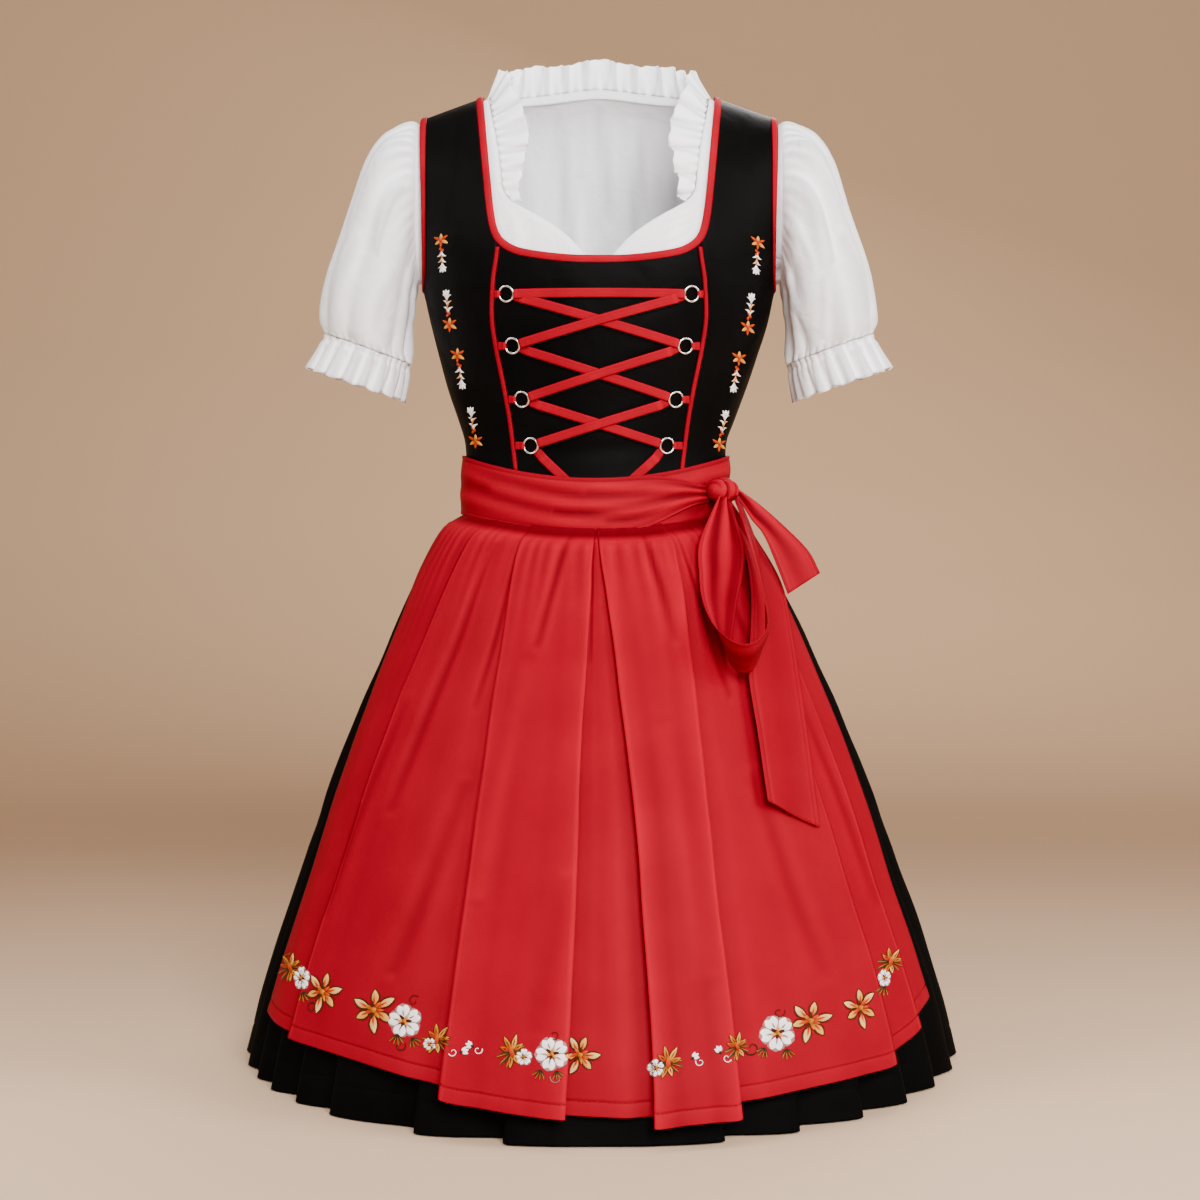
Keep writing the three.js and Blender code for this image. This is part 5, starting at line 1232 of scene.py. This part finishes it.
def gold_spray(bm, centre, size, heading):
    """A spray of gold and orange loops, open at the heart, over a fan of dark leaves, with a stem below."""
    leaf_fan(bm, centre, size * 1.05, heading + 130, 3)
    leaf_fan(bm, centre, size * 0.9, heading - 95, 3)
    spray = (bm, on_apron, centre, size)
    for aside, reach, colour in ((-58, 0.8, GOLD), (-20, 1.05, PALE_GOLD), (22, 1.0, GOLD), (62, 0.75, ORANGE),
                                 (168, 0.95, GOLD), (206, 0.8, PALE_GOLD)):
        stroke(*spray, heading + aside, 0.06, reach, 0.36, BROWN, rise=0.25, base=0.3)
        stroke(*spray, heading + aside, 0.12, reach * 0.93, 0.25, colour, rise=0.8, base=0.5)
        stroke(*spray, heading + aside, 0.3, reach * 0.75, 0.06, BROWN, rise=0.3, base=1.2, columns=5)
    stroke(*spray, heading + 10, -0.35, 0.35, 0.26, ORANGE, rise=0.8, base=1.0, columns=6)


def cup_flower(bm, centre, size, heading):
    """Three white petals side by side on a dark foot."""
    cup = (bm, on_apron, centre, size)
    for aside, reach in ((-34, 0.9), (34, 0.9), (0, 1.0)):
        stroke(*cup, heading + aside, 0, reach, 0.5, WHITE, rise=0.6)
    stroke(*cup, heading, -0.3, 0.25, 0.4, LEAF, rise=0.6, base=0.6, columns=5)


def tendril(bm, centre, size, start, colour, hand):
    """A curled stem in short satin-stitched pieces, wound inwards nearly once round."""
    pieces = 14
    walk = [turn_of(centre, size * (1 - 0.72 * k / pieces), start + hand * 324 * k / pieces)
            for k in range(pieces + 1)]
    for k, (a, b) in enumerate(zip(walk, walk[1:])):
        ahead = (b[0] + (b[0] - a[0]) * 0.35, b[1] + (b[1] - a[1]) * 0.35)
        petal(bm, on_apron, a, ahead, size * (0.26 - 0.008 * k), colour, rise=0.45, columns=4, fullness=1.0)


border = new_stitching()
# pixels of the frame: where, how large, and how turned
for px, py, size, heading in (
        (398, 1034, 13, 262), (412, 1038, 12, 300), (541, 1070, 12, 250), (556, 1071, 11, 290),
        (765, 1048, 12, 240),
        (786, 1049, 12, 285), (303, 992, 12, 290), (884, 986, 12, 250)):
    leaf_fan(border, spot_in_photo(px, py), size, heading)
for px, py, size, heading in (
        (437, 1040, 17, 70), (512, 1052, 18, 95), (668, 1063, 18, 80), (737, 1047, 15, 100),
        (291, 968, 15, 100),
        (890, 962, 15, 75)):
    gold_spray(border, spot_in_photo(px, py), size, heading)
for px, py, size, turn, squeeze in (
        (323, 992, 22, 10, 0.85), (374, 1010, 23, 28, 1.0), (580, 1055, 21, 5, 0.95),
        (810, 1021, 22, 16, 1.0),
        (860, 1008, 21, 40, 0.85)):
    lily(border, spot_in_photo(px, py), size, turn, squeeze)
for px, py, size, turn, squeeze in (
        (302, 978, 12, 0, 0.7), (405, 1021, 17, 8, 1.0), (552, 1054, 17, 20, 1.0), (524, 1057, 8.5, 0, 1.0),
        (656, 1068, 9, 12, 1.0), (777, 1033, 18, 30, 1.0), (884, 978, 9, 10, 0.75), (430, 1044, 7, 30, 1.0)):
    white_flower(border, spot_in_photo(px, py), size, turn, squeeze)
for px, py, size, start, colour, hand in (
        (453, 1052, 4.6, 200, WHITE, 1), (478, 1050, 4.6, 20, WHITE, -1), (700, 1062, 4.6, 160, WHITE, 1),
        (727, 1058, 4.6, 340, WHITE, -1), (752, 1048, 8, 200, BROWN, 1), (400, 1046, 6, 30, BROWN, -1),
        (414, 1001, 6, 40, BROWN, 1), (554, 1035, 6, 200, BROWN, 1), (779, 1012, 6, 20, BROWN, -1),
        (556, 1078, 6, 160, PINK, 1), (312, 1008, 6, 40, BROWN, 1)):
    tendril(border, spot_in_photo(px, py), size, start, colour, hand)
for px, py, size, heading in ((462, 1052, 7, 20), (472, 1046, 7, 160), (693, 1058, 7, 40), (720, 1052, 7, 120)):
    cup_flower(border, spot_in_photo(px, py), size, heading)
finish_stitching(border, "apron_border_embroidery")

STITCH_STEP, STITCH_START, STITCH_END, STITCH_WIDTH = 4.2, 1.0, 3.8, 0.7
hem_thread = thread("red_thread", [(0.0, (0.10, 0.0005, 0.0015)), (1.0, (0.16, 0.0008, 0.002))], strand=0.3)
seam = new_stitching()
stitch_row = apron_rows[min(range(len(APRON_STEPS)), key=lambda j: abs(APRON_STEPS[j] - STITCH_LINE))]
hem_line = []
for run in apron_runs:
    angle, lift, level = (read(stitch_row, run, column) for column in (1, 2, 3))
    hem_line.append(skirt_form(math.radians(angle), level, read(APRON_OUT, level) + max(-0.4, lift)))
walk_hem = evenly(hem_line)
hem_run = sum((b - a).length for a, b in zip(hem_line, hem_line[1:]))
for k in range(round(hem_run / STITCH_STEP)):
    here = walk_hem((k * STITCH_STEP + STITCH_START) / hem_run)[2]
    ahead = walk_hem((k * STITCH_STEP + STITCH_END) / hem_run)[2]
    outward = Vector((here.x, here.y, 0)).normalized()
    petal(seam, lambda a, b, out: here.lerp(ahead, a) + Vector((0, 0, b)) + outward * (out + 0.1),
          (0, 0), (1, 0), STITCH_WIDTH, 0, rise=0.35, base=0.05, columns=3)
finish_stitching(seam, "apron_hem_stitches", [hem_thread])


# The sash: a doubled strip of the apron's satin that holds the apron. It comes out of the knot, where it is
# crushed together, widens across the front, goes once round the waist and ends under its own beginning.

# height of the edge at the side, its dip in front, half width, depth of the front, depth of the back
SASH_LOWER, SASH_UPPER = (516, 16, 132.4, 103.2, 100.0), (573, 22, 131.0, 100.6, 97.2)
SASH_SHIFT, KNOT_ANGLE, SASH_COLUMNS = -3.0, 58.0, 260
SASH_SHARES = [0, 0.015, 0.05, 0.07, 0.09, 0.15, 0.22, 0.29, 0.36, 0.43, 0.5, 0.57, 0.64, 0.71, 0.78, 0.85,
               0.91, 0.93, 0.95, 0.985, 1]


def sash_edge(edge, turn, out):
    side, dip, half, front_depth, back_depth = edge
    depth = front_depth if math.cos(turn) > 0 else back_depth
    return Vector((SASH_SHIFT + (half + out) * math.sin(turn), -(depth + out) * math.cos(turn),
                   side - dip * max(0.0, math.cos(turn)) ** 2))


def sash_place(i, j):
    share, up = i / SASH_COLUMNS, SASH_SHARES[j]
    degrees = mixed(-342.0, 55.0, share)
    turn = math.radians(degrees)
    pinch = eased((degrees - 14) / 40)
    lap = -1.6 * (1 - eased((degrees + 312) / 26))
    swell = 0.9 * math.sin(math.pi * up) - 0.5 * math.exp(-((min(up, 1 - up) - 0.07) / 0.016) ** 2)
    folds = (0.5 + 1.0 * pinch) * math.sin(up * 17 + 1.6 * math.sin(turn * 1.7) + turn * 2.1)
    folds += 0.8 * noise.noise(Vector((degrees * 0.022, up * 2.2, 4.0)))
    out = swell + folds * math.sin(math.pi * up) ** 0.5 + lap + 1.4 * pinch
    low, high = sash_edge(SASH_LOWER, turn, out), sash_edge(SASH_UPPER, turn, out)
    low.z, high.z = mixed(low.z, 528.0, pinch), mixed(high.z, 544.0, pinch)
    return low.lerp(high, up)


SASH_CREASES = [
    (0.10, 0.62, 0.24, 0.50, 5, 1.0), (0.34, 0.40, 0.50, 0.52, 5, 1.1), (0.62, 0.70, 0.72, 0.58, 5, 0.9),
    (0.80, 0.35, 0.97, 0.50, 4, 1.2), (0.84, 0.75, 0.98, 0.58, 4, 1.0), (0.86, 0.20, 0.98, 0.42, 4, 1.0),
]
sash = cloth("apron_sash", SASH_COLUMNS, len(SASH_SHARES) - 1, sash_place, 0.8, red_satin,
             SASH_CREASES, uneven=0.3)


# The bow at the side: a knot of the same satin with a fold wrapped over it, one hanging loop, a short end
# that sticks out and a long end that hangs down over the apron and is cut on the slant. All are flat
# ribbons with narrow stitched edges, gathered where they leave the knot.
KNOT_HEIGHT, KNOT_ALONG, KNOT_OUT, KNOT_UP, KNOT_CLEAR = 539.0, 18.0, 12.5, 11.0, 1.4
knot_turn = math.radians(KNOT_ANGLE)
knot_out = Vector((math.sin(knot_turn) / 130.3, -math.cos(knot_turn) / 99.8, 0)).normalized()
knot_along = Vector((-knot_out.y, knot_out.x, 0))
knot_middle = Vector((SASH_SHIFT + 130.65 * math.sin(knot_turn), -100.65 * math.cos(knot_turn), KNOT_HEIGHT))
knot_middle += knot_out * (KNOT_OUT - 0.2)


def knot_spot(along, out, up):
    """A place just outside the knot, in that direction from its middle."""
    reach = math.sqrt(along * along + out * out + up * up)
    return (knot_middle + knot_along * (along / reach * (KNOT_ALONG + KNOT_CLEAR))
            + knot_out * (out / reach * (KNOT_OUT + KNOT_CLEAR))
            + Vector((0, 0, up / reach * (KNOT_UP + KNOT_CLEAR))))


KNOT_COLUMNS, KNOT_ROWS = 72, 40


def knot_place(i, j):
    """The wrap goes round the knot, its folds running the same way, and closes at both ends."""
    turn, along = 2 * math.pi * i / KNOT_COLUMNS, math.cos(math.pi * (1 - j / KNOT_ROWS))
    along += 0.10 * math.sin(turn + 0.6) * (1 - along * along)
    grooves = 0.075 * math.cos(11 * along + 1.2 * math.sin(turn)) + 0.035 * math.cos(19 * along + 2.5)
    waist = 1 - 0.10 * math.exp(-((along + 0.25) / 0.12) ** 2)
    round_off = math.sqrt(max(0.0, 1 - min(1.0, along * along))) * waist + grooves * (1 - along ** 4)
    lip = 0.13 * eased((along - 0.05) / 0.1) * eased((0.62 - along) / 0.1)
    reach = max(0.02, round_off + lip * 0.7)
    return (knot_middle + knot_along * along * KNOT_ALONG + knot_out * math.cos(turn) * reach * KNOT_OUT
            + Vector((0, 0, -math.sin(turn) * reach * KNOT_UP)))


knot = cloth("bow_knot", KNOT_COLUMNS, KNOT_ROWS, knot_place, 0.8, red_satin, tube=True,
             uneven=0.3)

# where a ribbon's rows lie from one edge to the other, close together at the two lines of stitches
ACROSS = [0, 0.02, 0.055, 0.075, 0.095, 0.16, 0.24, 0.32, 0.4, 0.5, 0.6, 0.68, 0.76, 0.84, 0.905, 0.925, 0.945,
          0.98, 1]


def ribbon(name, rows, step, fold, rests_on):
    """A ribbon through pairs of edge points, with folds pushed out of it and narrow stitched edges."""
    numbered = [(k, *near, *far) for k, (near, far) in enumerate(rows)]
    run = sum(((b[0] + b[1]) / 2 - (a[0] + a[1]) / 2).length for a, b in zip(rows, rows[1:]))
    columns = round(run / step)

    def edges(t):
        return (Vector([read(numbered, t, column) for column in (1, 2, 3)]),
                Vector([read(numbered, t, column) for column in (4, 5, 6)]))

    def place(i, j):
        t = i / columns * (len(rows) - 1)
        near, far = edges(t)
        behind, ahead = edges(t - 0.05), edges(t + 0.05)
        course = (ahead[0] + ahead[1]) - (behind[0] + behind[1])
        face = course.cross(far - near).normalized()
        up = ACROSS[j]
        groove = 0.45 * math.exp(-((min(up, 1 - up) - 0.075) / 0.014) ** 2)
        return near.lerp(far, up) + face * (fold(i / columns, up) - groove)

    piece = cloth(name, columns, len(ACROSS) - 1, place, 0.7, red_satin)
    wide = sum((near - far).length for near, far in rows) / len(rows)
    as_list(rests_on)


# near edge and far edge, each sideways, towards the viewer and up
LOOP = [
    (93, -114, 491, 136, -98, 489), (91.5, -140, 463, 134, -115, 461), (93, -162, 441, 128, -133, 437),
    (99.5, -184, 423, 122, -160, 410), (109.5, -204, 411, 118, -178, 387), (121.5, -218, 404, 126, -187, 376),
    (134.5, -219, 404, 138, -187, 378), (145, -210, 410, 146, -179, 393), (151, -194, 421, 152, -161, 411),
    (150, -173, 440, 153, -141, 436), (145, -148, 466, 150, -119, 464), (139, -122, 493, 146, -99, 491),
]
loop_rows = [(knot_spot(-0.8, 0.5, -0.35), knot_spot(-0.15, 0.75, -0.65))]
loop_rows += [(Vector(row[:3]), Vector(row[3:])) for row in LOOP]
loop_rows += [(knot_spot(0.25, 0.85, -0.45), knot_spot(0.5, 0.7, -0.5))]
ribbon("bow_loop", loop_rows, 3.0,
       lambda t, up: (2.4 * math.exp(-t * 6) + 2.0 * math.exp(-(1 - t) * 6)) * math.sin(up * 12 + 0.5)
       + 1.4 * math.sin(up * 5 + t * 4) * math.sin(math.pi * t), ["bow_knot"])
SHORT_END = [
    (143, -68, 513, 153.7, -58, 526), (155, -72, 498, 175, -62, 507), (164.4, -76, 477, 199, -66, 482.5),
    (178, -82, 441, 210.4, -70, 461),
]
short_rows = [(knot_spot(0.75, 0.5, -0.42), knot_spot(0.85, 0.5, 0.15))]
short_rows += [(Vector(row[:3]), Vector(row[3:])) for row in SHORT_END]
ribbon("bow_short_end", short_rows, 2.6,
       lambda t, up: 2.2 * math.exp(-t * 2.2) * math.sin(up * 9 + 0.8) + 1.2 * math.sin(up * 3 + 1) * t,
       ["bow_knot"])

# left edge and its height, right edge and its height, distance from the skirt's form
LONG_END = [
    (134, 490, 152, 490, 12), (140, 450, 174, 450, 14), (138, 411, 182, 405, 12), (134, 375, 186.5, 366, 12),
    (139.8, 327, 191, 317, 12), (147.3, 266, 198, 240, 12),
]


def over_skirt(x, height, stand):
    half = read(SKIRT, height, HALF) + stand
    across = (x - read(SKIRT, height, LEAN)) / half
    return Vector((x, -(read(SKIRT, height, FRONT) + stand) * math.sqrt(1 - across * across), height))


long_rows = [(knot_spot(-0.2, 0.25, -0.95), knot_spot(0.45, 0.15, -0.88))]
long_rows += [(over_skirt(left, low, stand), over_skirt(right, high, stand))
              for left, low, right, high, stand in LONG_END]
ribbon("bow_long_end", long_rows, 3.2,
       lambda t, up: (2.6 * math.exp(-t * 3.5) * math.sin(up * 8 + 0.4)
                      + 2.4 * math.sin(up * 4.4 + 0.6 + t) * t ** 0.7),
       ["bow_knot", "apron_panel"])

bpy.context.view_layer.update()
